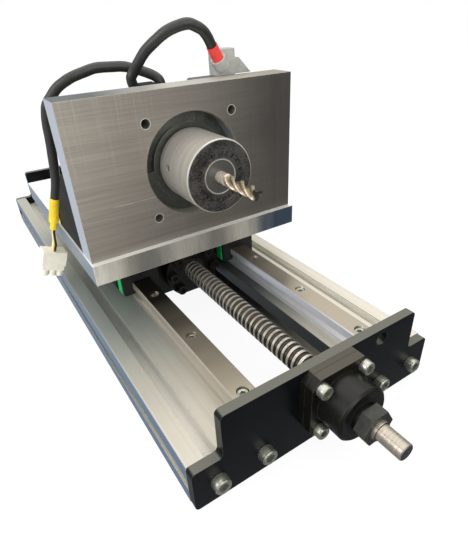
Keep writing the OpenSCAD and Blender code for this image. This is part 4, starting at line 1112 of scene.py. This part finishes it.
def joined(name: str, meshes: Iterable[Mesh]) -> Mesh:
    """Joins meshes into one, keeping their materials and shading."""
    objects = [add_object(f"{name}_{i}", mesh) for i, mesh in enumerate(meshes)]
    with bpy.context.temp_override(active_object=objects[0], selected_editable_objects=objects):
        bpy.ops.object.join()
    mesh = objects[0].data
    bpy.data.objects.remove(objects[0])
    mesh.name = name
    return mesh


def refined_mesh(source: Object, bevel_m: float, angle_deg: float = 38.0) -> Mesh:
    """Copies a CAD solid with clean faces and rounded edges.

    Args:
        source: The CAD node.
        bevel_m: Width of the rounding.
        angle_deg: Edges sharper than this are rounded.

    Returns:
        The new mesh, within the solid it came from.
    """
    work = bmesh.new()
    work.from_mesh(source.data)
    work.transform(source.matrix_world)
    bmesh.ops.remove_doubles(work, verts=work.verts, dist=2e-6)
    bmesh.ops.dissolve_limit(work, angle_limit=math.radians(0.4), verts=work.verts, edges=work.edges)
    mesh = bpy.data.meshes.new(source.name)
    work.to_mesh(mesh)
    work.free()
    if bevel_m <= 0:
        return finish_mesh(mesh)
    holder = add_object("refine", mesh)
    bevel = holder.modifiers.new("edges", "BEVEL")
    bevel.limit_method = "ANGLE"
    bevel.angle_limit = math.radians(angle_deg)
    bevel.width = bevel_m
    bevel.segments = 2
    bevel.use_clamp_overlap = True
    bevel.loop_slide = False
    rounded = baked(holder)
    bpy.data.objects.remove(holder)
    rounded.polygons.foreach_set("use_smooth", [True] * len(rounded.polygons))
    rounded.set_sharp_from_angle(angle=math.radians(32.0))
    holder = add_object("weigh", rounded)
    weighted = holder.modifiers.new("normals", "WEIGHTED_NORMAL")
    weighted.mode, weighted.weight, weighted.keep_sharp = "FACE_AREA", 60, True
    result = baked(holder)
    bpy.data.objects.remove(holder)
    return result


@dataclass(frozen=True)
class Thread:
    """A right-handed ball thread: places along Y, radii and the lead, in metres."""

    y0: float
    y1: float
    run_in: float
    lead: float
    root_r: float
    crest_r: float
    land: tuple[float, float] = (0.2, 0.58)
    steps: int = 36
    groove_points: int = 9

    def section(self) -> list[tuple[float, float]]:
        """Place along the lead and radius of each point of the thread's section, starting in the groove."""
        start, end = self.land
        width = 1.0 + start - end
        groove = []
        for i in range(self.groove_points + 1):
            t = i / self.groove_points
            depth = (self.crest_r - self.root_r) * math.sqrt(max(0.0, 1 - abs(2 * t - 1) ** 2.4))
            groove.append((end + width * t, self.crest_r - depth))
        before = [(f - 1.0, r) for f, r in groove if f >= 1.0]
        after = [(f, r) for f, r in groove if f < 1.0]
        edge = 0.012
        land = [(start + edge, self.crest_r), (end - edge, self.crest_r)]
        return [*before, *land, *after]

    def mesh(self, z: float) -> Mesh:
        """Builds the thread as a closed mesh round an axis at height z.

        Args:
            z: Height of the axis.

        Returns:
            The mesh.
        """
        section = self.section()
        n, m = self.steps, len(section)
        last = n * math.floor((self.y1 - self.y0 - 2 * self.run_in) / self.lead)
        verts = [
            (
                radius * math.cos(2 * math.pi * k / n),
                self.y0 + self.run_in + self.lead * (k / n + place),
                z - radius * math.sin(2 * math.pi * k / n),
            )
            for k in range(last + 1)
            for place, radius in section
        ]
        disc_r = self.root_r - 0.0005
        first_disc = len(verts)
        end_disc = first_disc + n
        for y in (self.y0, self.y1):
            verts += [(disc_r * math.cos(a), y, z - disc_r * math.sin(a)) for a in turn_steps(n)]
        faces: list[tuple[int, ...]] = []
        for k in range(last - n):
            for j in range(m):
                a = k * m + j
                b = a + 1 if j < m - 1 else (k + n) * m
                faces.append((a, b, b + m, a + m))
        for k in range(n):
            c, d = first_disc + k, first_disc + (k + 1) % n
            faces.append((c, k * m, (k + 1) * m, d))
            a, c, d = (last - n + k) * m, end_disc + k, end_disc + (k + 1) % n
            faces.append((a, c, d, a + m))
        faces.append((first_disc, n * m, *range(m - 1, -1, -1)))
        faces.append((end_disc, *((last - n) * m + j for j in range(m)), last * m))
        faces.append(tuple(first_disc + k for k in range(n)))
        faces.append(tuple(end_disc + k for k in range(n - 1, -1, -1)))
        mesh = bpy.data.meshes.new("screw_thread")
        mesh.from_pydata(verts, [], faces)
        return finish_mesh(mesh, 28.0)


def end_mill_mesh(z: float, shank_y1: float, flute_y0: float, flute_y1: float, radius: float) -> Mesh:
    """Builds an end mill with three right-hand flutes and a plain shank.

    Args:
        z: Height of its axis.
        shank_y1: Rear end of the shank.
        flute_y0: Front end of the flutes.
        flute_y1: Rear end of the flutes.
        radius: Its radius.

    Returns:
        The closed mesh.
    """
    sides, steps, lead = 72, 96, 0.032

    def share(angle: float) -> float:
        """Share of the radius that the fluted outline has at an angle."""
        part = (angle / (2 * math.pi) * 3) % 1.0
        if part < 0.2:
            return 1.0 - 0.06 * part / 0.2
        if part < 0.3:
            return 0.94 - 0.1 * (part - 0.2) / 0.1
        if part > 0.95:
            return 0.6 + 0.4 * ((part - 0.95) / 0.05) ** 1.5
        return 0.84 - 0.3 * math.sin(math.pi * (part - 0.3) / 0.65) ** 0.8 - 0.24 * (part - 0.3) / 0.65

    def ring(y: float, fluted: float, scale: float = 1.0) -> Ring:
        """Points of the tool's outline at one place, with the flutes at a share of their depth."""
        turn = 2 * math.pi * (flute_y1 - y) / lead
        points = []
        for a in turn_steps(sides):
            r = radius * scale * (1.0 + fluted * (share(a - turn) - 1.0))
            points.append(Vector((r * math.cos(a), y, z + r * math.sin(a))))
        return points

    rings = [ring(shank_y1, 0.0), ring(flute_y1 + 0.0001, 0.0)]
    for i in range(steps + 1):
        y = flute_y1 + (flute_y0 - flute_y1) * i / steps
        rings.append(ring(y, min(1.0, i / 10)))
    rings.append(ring(flute_y0 + 0.0003, 1.0, 0.4))
    return skin("end_mill", rings)


# ---------------------------------------------------------------------------
# Pieces
# ---------------------------------------------------------------------------

THREAD = Thread(
    y0=FRONT_Y + 8 * MM,
    y1=FRONT_Y + 456 * MM,
    run_in=1.5 * MM,
    lead=5 * MM,
    root_r=6.5 * MM,
    crest_r=7.8 * MM,
)

SURFACES = {
    # Painted shade: the nut wipers take black rubber and the nut screws black oxide, for the shadow under the
    # saddle.
    "nut_wipers": "seal_rubber",
    "nut_screws": "black_oxide",
    "ball_nut": "black_oxide",
    "lock_nut": "dark_steel",
    "rail_screws": "zinc_steel",
    "left_gusset": "gusset_black",
    "right_gusset": "gusset_black",
}


def smooth_route(points: Sequence[Point], per_span: int = 6) -> list[Vector]:
    """Runs a smooth Catmull-Rom line through given points.

    Args:
        points: The points to pass through, in millimetres.
        per_span: Steps between two neighbouring points.

    Returns:
        Points of the line, in metres.
    """
    given = [Vector(p) * MM for p in points]
    padded = [2 * given[0] - given[1], *given, 2 * given[-1] - given[-2]]
    line = []
    for a, b, c, d in zip(padded, padded[1:], padded[2:], padded[3:]):
        for step in range(per_span):
            t = step / per_span
            cubic = (3 * b - a - 3 * c + d) * t**3
            line.append(0.5 * (2 * b + (c - a) * t + (2 * a - 5 * b + 4 * c - d) * t * t + cubic))
    line.append(given[-1])
    return line


def swept_rings(line: Sequence[Vector], radii: Sequence[float], sides: int = 24) -> list[Ring]:
    """Sets a circle square to a line at each of its points.

    Args:
        line: Centreline points.
        radii: Radius at each point.
        sides: Points of each circle.

    Returns:
        The rings.
    """
    last = len(line) - 1
    rings = []
    side = (line[1] - line[0]).orthogonal().normalized()
    for i, (point, radius) in enumerate(zip(line, radii)):
        tangent = (line[min(i + 1, last)] - line[max(i - 1, 0)]).normalized()
        side = (side - tangent * side.dot(tangent)).normalized()
        other = tangent.cross(side)
        rings.append([point + radius * (math.cos(a) * side + math.sin(a) * other) for a in turn_steps(sides)])
    return rings


class Workshop:
    """Hangs finished meshes on the CAD bodies they belong to."""

    def __init__(self, frame: dict, materials: dict[str, Material]) -> None:
        """Reads off the frame which body and which material each node has.

        Args:
            materials: The materials by surface name.
        """
        self.nodes = frame["nodes"]
        self.materials = materials
        record = frame["record"]
        self.slots = {part["node"]: part["material_slot"] for part in record["subparts"]}
        bodies = record["behaviour"]["bodies"]
        self.bodies = {node: body for body, names in bodies.items() for node in names}
        self.scatter = scatter_group()

    def material(self, node: str) -> Material:
        """Gives the material that a node wears."""
        return self.materials[SURFACES.get(node, self.slots[node])]

    def add(self, node: str, mesh: Mesh, name: str | None = None) -> Object:
        """Adds a piece in the place of a CAD node; a mesh without a material gets the node's own.

        Args:
            node: The node it replaces.
            mesh: Its mesh.
            name: Its name, if not the node's own with p_ before it.

        Returns:
            The piece.
        """
        if not mesh.materials:
            mesh.materials.append(self.material(node))
        piece = add_object(name or "p_" + node, mesh)
        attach(piece, self.bodies[node])
        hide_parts(node)
        LOG.info("%s rides on %s", piece.name, self.bodies[node])
        return piece

    def paint_rest(self) -> None:
        """Gives every CAD node that stays visible its material."""
        for node, obj in self.nodes.items():
            obj.data.materials.clear()
            obj.data.materials.append(self.materials[self.slots[node]])


@dataclass(frozen=True)
class Assembly:
    """Pieces of one body whose shapes come from the CAD.

    Attributes:
        bevels_mm: Width of the rounded edges of each solid.
        screws: Nodes that hold socket head screws.
        shank: Length of shank under each screw's head.
    """

    bevels_mm: dict[str, float]
    screws: tuple[str, ...] = ()
    shank: float = 3 * MM

    def build(self, shop: Workshop) -> None:
        """Adds the pieces."""
        for node, bevel_mm in self.bevels_mm.items():
            mesh = refined_mesh(shop.nodes[node], bevel_mm * MM)
            mesh.materials.clear()
            shop.add(node, mesh)
        for node in self.screws:
            shop.add(node, self.screw_mesh(shop, node))

    def screw_mesh(self, shop: Workshop, node: str) -> Mesh:
        """Builds a node's screws with knurled heads, in the places read off the CAD.

        Args:
            shop: The workshop.
            node: The node.

        Returns:
            The mesh of all its screws.
        """
        groups: dict[tuple, list[Vector]] = {}
        for place in map(read_screw, loose_parts(shop.nodes[node].data)):
            key = (round(place.size_m, 4), tuple(round(v) for v in place.facing))
            groups.setdefault(key, []).append(place.seat)
        meshes = []
        look = shop.material(node)
        for (size, facing), seats in sorted(groups.items()):
            screw = cap_screw_mesh(size, self.shank)
            meshes.append(scattered(shop.scatter, screw, seats, Vector(facing), 2 * math.pi, look))
        return finish_mesh(joined("screws", meshes) if len(meshes) > 1 else meshes[0])


@dataclass(frozen=True)
class BallScrew(Assembly):
    """The ball screw: its shaft, collars and lock nut, and the thread along it.

    Attributes:
        thread: The ball thread.
        z: Height of the axis.
    """

    thread: Thread = THREAD
    z: float = SCREW_Z

    def build(self, shop: Workshop) -> None:
        """Adds the pieces."""
        super().build(shop)
        shop.add("screw_thread", self.thread.mesh(self.z))


@dataclass(frozen=True)
class Spindle:
    """The turned tool holder with its clamping screw, and the end mill.

    Attributes:
        z: Height of the axis.
        face_y: Front of the holder.
        back_y: Back of the holder.
        radius: Radius of the holder.
        face_mm: Radius and depth of the points of the holder's front, from the middle outward.
        screw_deg: Direction of the clamping screw round the axis.
        screw_back: How far the clamping screw lies before the holder's back.
        screw_r: Radius of the clamping screw.
        tool_r: Radius of the end mill.
        tool_grip: How deep the end mill sits in the holder.
    """

    z: float = SPINDLE_Z
    face_y: float = HOLDER_Y0
    back_y: float = HOLDER_Y1
    radius: float = 24 * MM
    face_mm: tuple[tuple[float, float], ...] = (
        (0.4, 0.6), (10.7, 0.6), (10.9, 0.2), (11.2, 0.2), (11.4, 0.8), (11.7, 0.8), (12.0, 0.3), (13.6, 0.3),
        (13.8, 0.6), (16.6, 0.6), (16.8, 0.2), (17.2, 0.0), (22.9, 0.0), (24.0, 1.1),
    )
    screw_deg: float = 171.0
    screw_back: float = 12 * MM
    screw_r: float = 2.48 * MM
    tool_r: float = 4 * MM
    tool_grip: float = 12 * MM

    def build(self, shop: Workshop) -> None:
        """Adds the holder and the end mill."""
        shop.add("tool_holder", self.holder_mesh(shop))
        back, tip, shank = (self.face_y + d for d in (self.tool_grip, -TOOL_REACH, -SHANK_REACH))
        shop.add("end_mill", end_mill_mesh(self.z, back, tip, shank, self.tool_r))

    def holder_mesh(self, shop: Workshop) -> Mesh:
        """Builds the holder with its clamping screw in a hole of its wall.

        Args:
            shop: The workshop.

        Returns:
            The mesh.
        """
        section = [(r * MM, self.face_y + depth * MM) for r, depth in self.face_mm]
        chamfer, bore = 0.5 * MM, 0.4 * MM
        section.append((self.radius, self.back_y - chamfer))
        section += [(self.radius - chamfer, self.back_y), (bore, self.back_y)]
        body = lathe_y("tool_holder", section, self.z)
        turn = math.radians(self.screw_deg)
        out = Vector((math.cos(turn), 0.0, math.sin(turn)))
        seat = Vector((0.0, self.back_y - self.screw_back, self.z))
        bottom, clearance = self.radius - 3.5 * MM, 0.12 * MM
        ends = [seat + out * bottom, seat + out * (self.radius + 2 * MM)]
        body = cut(body, skin("hole", swept_rings(ends, [self.screw_r + clearance] * 2, 32)))
        body.materials.append(shop.materials["holder_steel"])
        base = seat + out * (bottom + 0.2 * MM)
        screw = set_screw_mesh("set_screw", base, out, 2.4 * MM, self.screw_r, 2.5 * MM)
        screw.materials.append(shop.materials["zinc_steel"])
        return joined("tool_holder", [body, screw])


@dataclass(frozen=True)
class Cable:
    """A free cable and the sleeve over its end.

    Attributes:
        name: Name of the cord.
        node: The CAD node it stands for.
        route_mm: Points of its middle line.
        far_end: What is on its far end; not used.
        with_pieces: The pieces that go with it; not used.
        sleeve: Node of the sleeve.
        sleeve_mm: Distance past the cable's end and radius of each ring of the sleeve.
        diameter_mm: Its thickness.
    """

    name: str
    node: str
    route_mm: tuple[Point, ...]
    far_end: FarEnd
    with_pieces: tuple[str, ...]
    sleeve: str
    sleeve_mm: tuple[tuple[float, float], ...]
    diameter_mm: float = 7.0

    def end(self) -> tuple[Vector, Vector]:
        """Gives the cable's end point, in metres, and the direction it points in."""
        before, end = (Vector(p) * MM for p in self.route_mm[-2:])
        return end, (end - before).normalized()

    def add_sleeve(self, shop: Workshop) -> None:
        """Adds the shrunk sleeve past the cable's end."""
        end, heading = self.end()
        line = [end + heading * (reach * MM) for reach, _ in self.sleeve_mm]
        shop.add(self.sleeve, skin(self.sleeve, swept_rings(line, [r * MM for _, r in self.sleeve_mm], 32)))

    def add_cord(self, shop: Workshop) -> None:
        line = smooth_route(self.route_mm)
        radius = self.diameter_mm * MM / 2
        uneven = [1 + 0.012 * math.sin(0.9 * i) * math.sin(0.23 * i + 1) for i in range(len(line))]
        mesh = skin(self.name, swept_rings(line, [radius * share for share in uneven]))
        shop.add(self.node, mesh, self.name)


@dataclass(frozen=True)
class PlugWires:
    """The three wires between the power cable's sleeve and its plug.

    Attributes:
        cable: The cable they come out of.
        plug_mm: Middle of the plug's top.
        tilt_deg: Lean of the plug.
        gap_mm: Gap between the sleeve's end and the wires' start.
        pitch_mm: Distance between the wires at the sleeve.
        plug_pitch_mm: Distance between them at the plug.
        radius_mm: Their radius.
        surfaces: Material of each.
    """

    cable: Cable
    plug_mm: Point = (-94.0, 12.5, 61.0)
    tilt_deg: float = 21.0
    gap_mm: float = 0.3
    pitch_mm: float = 1.9
    plug_pitch_mm: float = 3.8
    radius_mm: float = 0.9
    surfaces: tuple[str, ...] = ("wire_black", "wire_yellow", "wire_white")

    def build(self, shop: Workshop) -> None:
        """Adds the wires as one piece."""
        end, heading = self.cable.end()
        start = end / MM + heading * (self.cable.sleeve_mm[-1][0] + self.gap_mm)
        across = Vector((0.0, 1.0, 0.0)) - heading * heading.y
        tilt = math.radians(self.tilt_deg)
        axis = Vector((math.sin(tilt), 0.0, math.cos(tilt)))
        meshes = []
        for k, surface in enumerate(self.surfaces, -1):
            a = start + across * (self.pitch_mm * k)
            b = Vector(self.plug_mm) + Vector((0.0, self.plug_pitch_mm * k, 0.0))
            line = smooth_route([a, a + heading * 3, b + axis * 6, b + axis * 2.5, b], 5)
            mesh = skin(surface, swept_rings(line, [self.radius_mm * MM] * len(line), 12))
            mesh.materials.append(shop.materials[surface])
            meshes.append(mesh)
        shop.add("power_wires", joined("power_wires", meshes))


def from_point(anchor: Point, offsets: Iterable[Point]) -> tuple[Point, ...]:
    """Adds an anchor to each offset."""
    return tuple(tuple(a + b for a, b in zip(anchor, offset)) for offset in offsets)


BLOCKS = ("front_left_block", "front_right_block", "rear_left_block", "rear_right_block")
BASE = Assembly(
    bevels_mm={
        "left_profile": 0.35, "right_profile": 0.35, "drive_end_plate": 0.6, "rear_end_plate": 0.6,
        "left_rail": 0.25, "right_rail": 0.25, "rail_slot_nuts": 0.2, "bearing_housing": 0.4,
        "bearing_cover": 0.3, "rear_bearing_housing": 0.4,
    },
    screws=("end_plate_screws", "rail_screws", "bearing_unit_screws", "rear_unit_screws"),
)
BALL_SCREW = BallScrew(bevels_mm={"ball_screw": 0.2, "spacer_collars": 0.3, "lock_nut": 0.6})
CARRIAGE = Assembly(
    bevels_mm={
        "saddle_plate": 0.4, "riser_bars": 0.4, **dict.fromkeys(BLOCKS, 0.3), "block_end_caps": 0.6,
        "block_end_seals": 0.3, "ball_nut": 0.4, "nut_wipers": 0.0, "nut_bracket": 0.5, "spindle_plate": 0.5,
        "left_gusset": 0.5, "right_gusset": 0.5, "motor_flange": 0.25, "motor_body": 0.5,
        "motor_rear_cover": 1.2, "cable_grommets": 0.6, "encoder_connector": 0.9, "power_plug": 0.35,
    },
    screws=("riser_screws", "bracket_screws", "nut_screws", "motor_screws", "head_screws"),
)
ENCODER_CABLE = Cable(
    name="encoder_lead",
    node="encoder_cable",
    route_mm=from_point(MOTOR_TOP, (
        (-18, 26, 4), (-18, 26, 6), (-19.5, 25, 10), (-20, 24, 13.5), (-18, 22, 17.5), (-16, 18.5, 22),
        (-12, 13.5, 29), (-6.5, 7.5, 35), (-0.5, 2.5, 40), (6.5, -1.5, 43), (12.5, -4, 44),
        (17, -5, 42.5), (21.5, -5.5, 40), (25.5, -4.5, 36), (29.5, -2.5, 30.5),
    )),
    far_end=FarEnd.CONNECTOR,
    with_pieces=("p_encoder_sleeve", "p_encoder_connector", "p_cable_grommets"),
    sleeve="encoder_sleeve",
    sleeve_mm=(
        (0, 3.6), (0.1, 3.85), (0.5, 3.98), (5, 3.9), (9, 3.98), (12.5, 3.95), (13.8, 3.85), (14, 3.7),
    ),
)
POWER_CABLE = Cable(
    name="power_lead",
    node="power_cable",
    route_mm=from_point(MOTOR_TOP, (
        (3, 28, 5), (3, 28, 7), (2, 29, 10), (-1.5, 32.5, 13), (-9.5, 37.5, 16.5), (-18, 40.5, 19),
        (-27, 42.5, 19.5), (-37, 44.5, 19.5), (-45, 46.5, 17.5), (-53, 48.5, 15), (-59, 50.5, 12),
        (-64, 52.5, 8.5), (-69, 54.5, 3), (-72.5, 56.5, -2), (-74, 58.5, -8.5),
    )) + from_point(SADDLE_EDGE, (
        (10, 59.5, 75), (9.5, 60, 66), (8.5, 61, 55), (7.5, 62, 44), (6, 63, 33), (2.5, 64, 20.5),
    )),
    far_end=FarEnd.PLUG,
    with_pieces=("p_power_sleeve", "p_power_wires", "p_power_plug"),
    sleeve="power_sleeve",
    sleeve_mm=(
        (0, 3.6), (0.1, 3.85), (0.5, 3.98), (6, 3.92), (13, 3.98), (19, 3.95), (20.2, 3.5), (21, 2.85),
        (23.5, 2.75), (25.6, 2.8), (26, 2.65),
    ),
)


def build_pieces(shop: Workshop) -> None:
    """Adds every piece; the pieces that a cable names come before the cable.

    Args:
        shop: The workshop.
    """
    shop.paint_rest()
    for part in (BASE, BALL_SCREW, CARRIAGE, Spindle()):
        part.build(shop)
    cables = (ENCODER_CABLE, POWER_CABLE)
    for cable in cables:
        cable.add_sleeve(shop)
    PlugWires(POWER_CABLE).build(shop)
    for cable in cables:
        cable.add_cord(shop)


# ---------------------------------------------------------------------------
# Camera and stage
# ---------------------------------------------------------------------------


@dataclass(frozen=True)
class CameraSetup:
    """Place, heading and lens of the camera."""

    location_mm: Point = (-136.28, -342.1, 225.53)
    azimuth_deg: float = -32.627
    elevation_deg: float = -31.988
    roll_deg: float = -2.358
    lens_mm: float = 28.05
    shift: tuple[float, float] = (-0.01627, 0.0)

    def build(self) -> None:
        """Adds the camera and makes it the scene's own."""
        data = bpy.data.cameras.new("camera")
        data.lens = self.lens_mm
        data.shift_x, data.shift_y = self.shift
        data.clip_start, data.clip_end = 0.01, 30.0
        camera = bpy.data.objects.new("camera", data)
        bpy.context.scene.collection.objects.link(camera)
        tilt = Matrix.Rotation(math.radians(90 + self.elevation_deg), 4, "X")
        turn = Matrix.Rotation(math.radians(self.azimuth_deg), 4, "Z")
        roll = Matrix.Rotation(math.radians(self.roll_deg), 4, "Z")
        camera.matrix_world = Matrix.Translation(Vector(self.location_mm) * MM) @ turn @ tilt @ roll
        bpy.context.scene.camera = camera


@dataclass(frozen=True)
class AreaLight:
    """A soft rectangular lamp that looks at the object."""

    name: str
    place: Point
    power_w: float
    size_m: float
    color: Color = (1.0, 1.0, 1.0)

    def build(self) -> None:
        """Adds the lamp."""
        data = bpy.data.lights.new(self.name, "AREA")
        data.shape = "SQUARE"
        data.size = self.size_m
        data.energy = self.power_w
        data.color = self.color
        lamp = bpy.data.objects.new(self.name, data)
        bpy.context.scene.collection.objects.link(lamp)
        aim = Vector((0.0, -0.05, 0.06)) - Vector(self.place)
        lamp.matrix_world = Matrix.Translation(self.place) @ aim.to_track_quat("-Z", "Y").to_matrix().to_4x4()


LIGHTS = (
    AreaLight("overhead", (0.1, 0.1, 1.6), 15.0, 2.2, (1.0, 0.99, 0.97)),
    AreaLight("left_window", (-1.4, -0.2, 0.8), 10.0, 1.0, (0.93, 0.96, 1.0)),
    AreaLight("front_fill", (-0.2, -1.6, 0.9), 6.0, 1.0, (1.0, 0.98, 0.95)),
)


def build_world() -> None:
    """Adds a white studio: plain white to the camera, a softly graded room in reflections."""
    world = bpy.data.worlds.new("studio")
    world.use_nodes = True
    g = Graph(world.node_tree)
    background = world.node_tree.nodes["Background"]
    paths = g.node("ShaderNodeLightPath").outputs
    way = g.node("ShaderNodeTexCoord").outputs["Generated"]
    x, _, z = g.axes(way)
    height = g.remap(z, 0.0, 0.5)
    low = g.mix(g.remap(x, -0.6, 0.6), (0.75, 0.77, 0.8), (0.3, 0.3, 0.3))
    room = g.mix(height, low, (1.0, 0.99, 0.96))
    clutter = g.remap(g.noise(way, 1.7, 2.0, 0.5, 0.4), 0.42, 0.58, 0.0, 0.5)
    room = g.mix(g.mul(clutter, g.sub(1.0, height)), room, (0.08, 0.085, 0.09))
    white = (1.0, 1.0, 1.0)
    lit = g.mix(paths["Is Glossy Ray"], (1.0, 1.0, 0.99), room)
    g.feed(background.inputs["Color"], g.mix(paths["Is Camera Ray"], lit, white))
    bpy.context.scene.world = world


def build_floor() -> Object:
    """Adds the floor: white to the camera, and a dim tabletop in reflections."""
    material = bpy.data.materials.new("m_floor")
    material.use_nodes = True
    g = Graph(material.node_tree)
    shader = material.node_tree.nodes["Principled BSDF"]
    shader.inputs["Roughness"].default_value = 0.9
    shader.inputs["Base Color"].default_value = (0.8, 0.8, 0.8, 1.0)
    paths = g.node("ShaderNodeLightPath").outputs
    place = g.node("ShaderNodeTexCoord").outputs["Object"]
    x, y, _ = g.axes(place)
    table = g.mix(g.remap(y, -0.35, 0.05), (0.05, 0.05, 0.05), (0.5, 0.53, 0.57))
    table = g.mix(g.remap(x, -0.05, -0.4), table, (0.62, 0.63, 0.64))
    seen = g.node("ShaderNodeEmission", {"Color": (1.0, 1.0, 1.0), "Strength": 1.04}).outputs[0]
    seen = g.node("ShaderNodeMixShader", {0: 0.12, 1: seen, 2: shader.outputs[0]}).outputs[0]
    mirrored = g.node("ShaderNodeEmission", {"Color": table, "Strength": 1.0}).outputs[0]
    inputs = {0: paths["Is Glossy Ray"], 1: shader.outputs[0], 2: mirrored}
    lit = g.node("ShaderNodeMixShader", inputs).outputs[0]
    result = g.node("ShaderNodeMixShader", {0: paths["Is Camera Ray"], 1: lit, 2: seen}).outputs[0]
    g.feed(material.node_tree.nodes["Material Output"].inputs["Surface"], result)
    mesh = bpy.data.meshes.new("floor")
    s, z = 4.0, -0.0002
    mesh.from_pydata([(-s, -s, z), (s, -s, z), (s, s, z), (-s, s, z)], [], [(0, 1, 2, 3)])
    mesh.materials.append(material)
    floor = add_object("floor", mesh)
    return floor


def build_stage() -> None:
    """Adds the floor, the lights and the surroundings."""
    bpy.context.scene.view_settings.view_transform = "Standard"
    build_world()
    build_floor()
    for light in LIGHTS:
        light.build()


def record_size() -> None:
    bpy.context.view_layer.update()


def main() -> None:
    """Builds the whole scene."""
    logging.basicConfig(level=logging.INFO)
    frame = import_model()
    record_size()
    CameraSetup().build()
    build_pieces(Workshop(frame, MaterialKit().make_all()))
    build_stage()
    record_size()


if __name__ == "__main__":
    main()
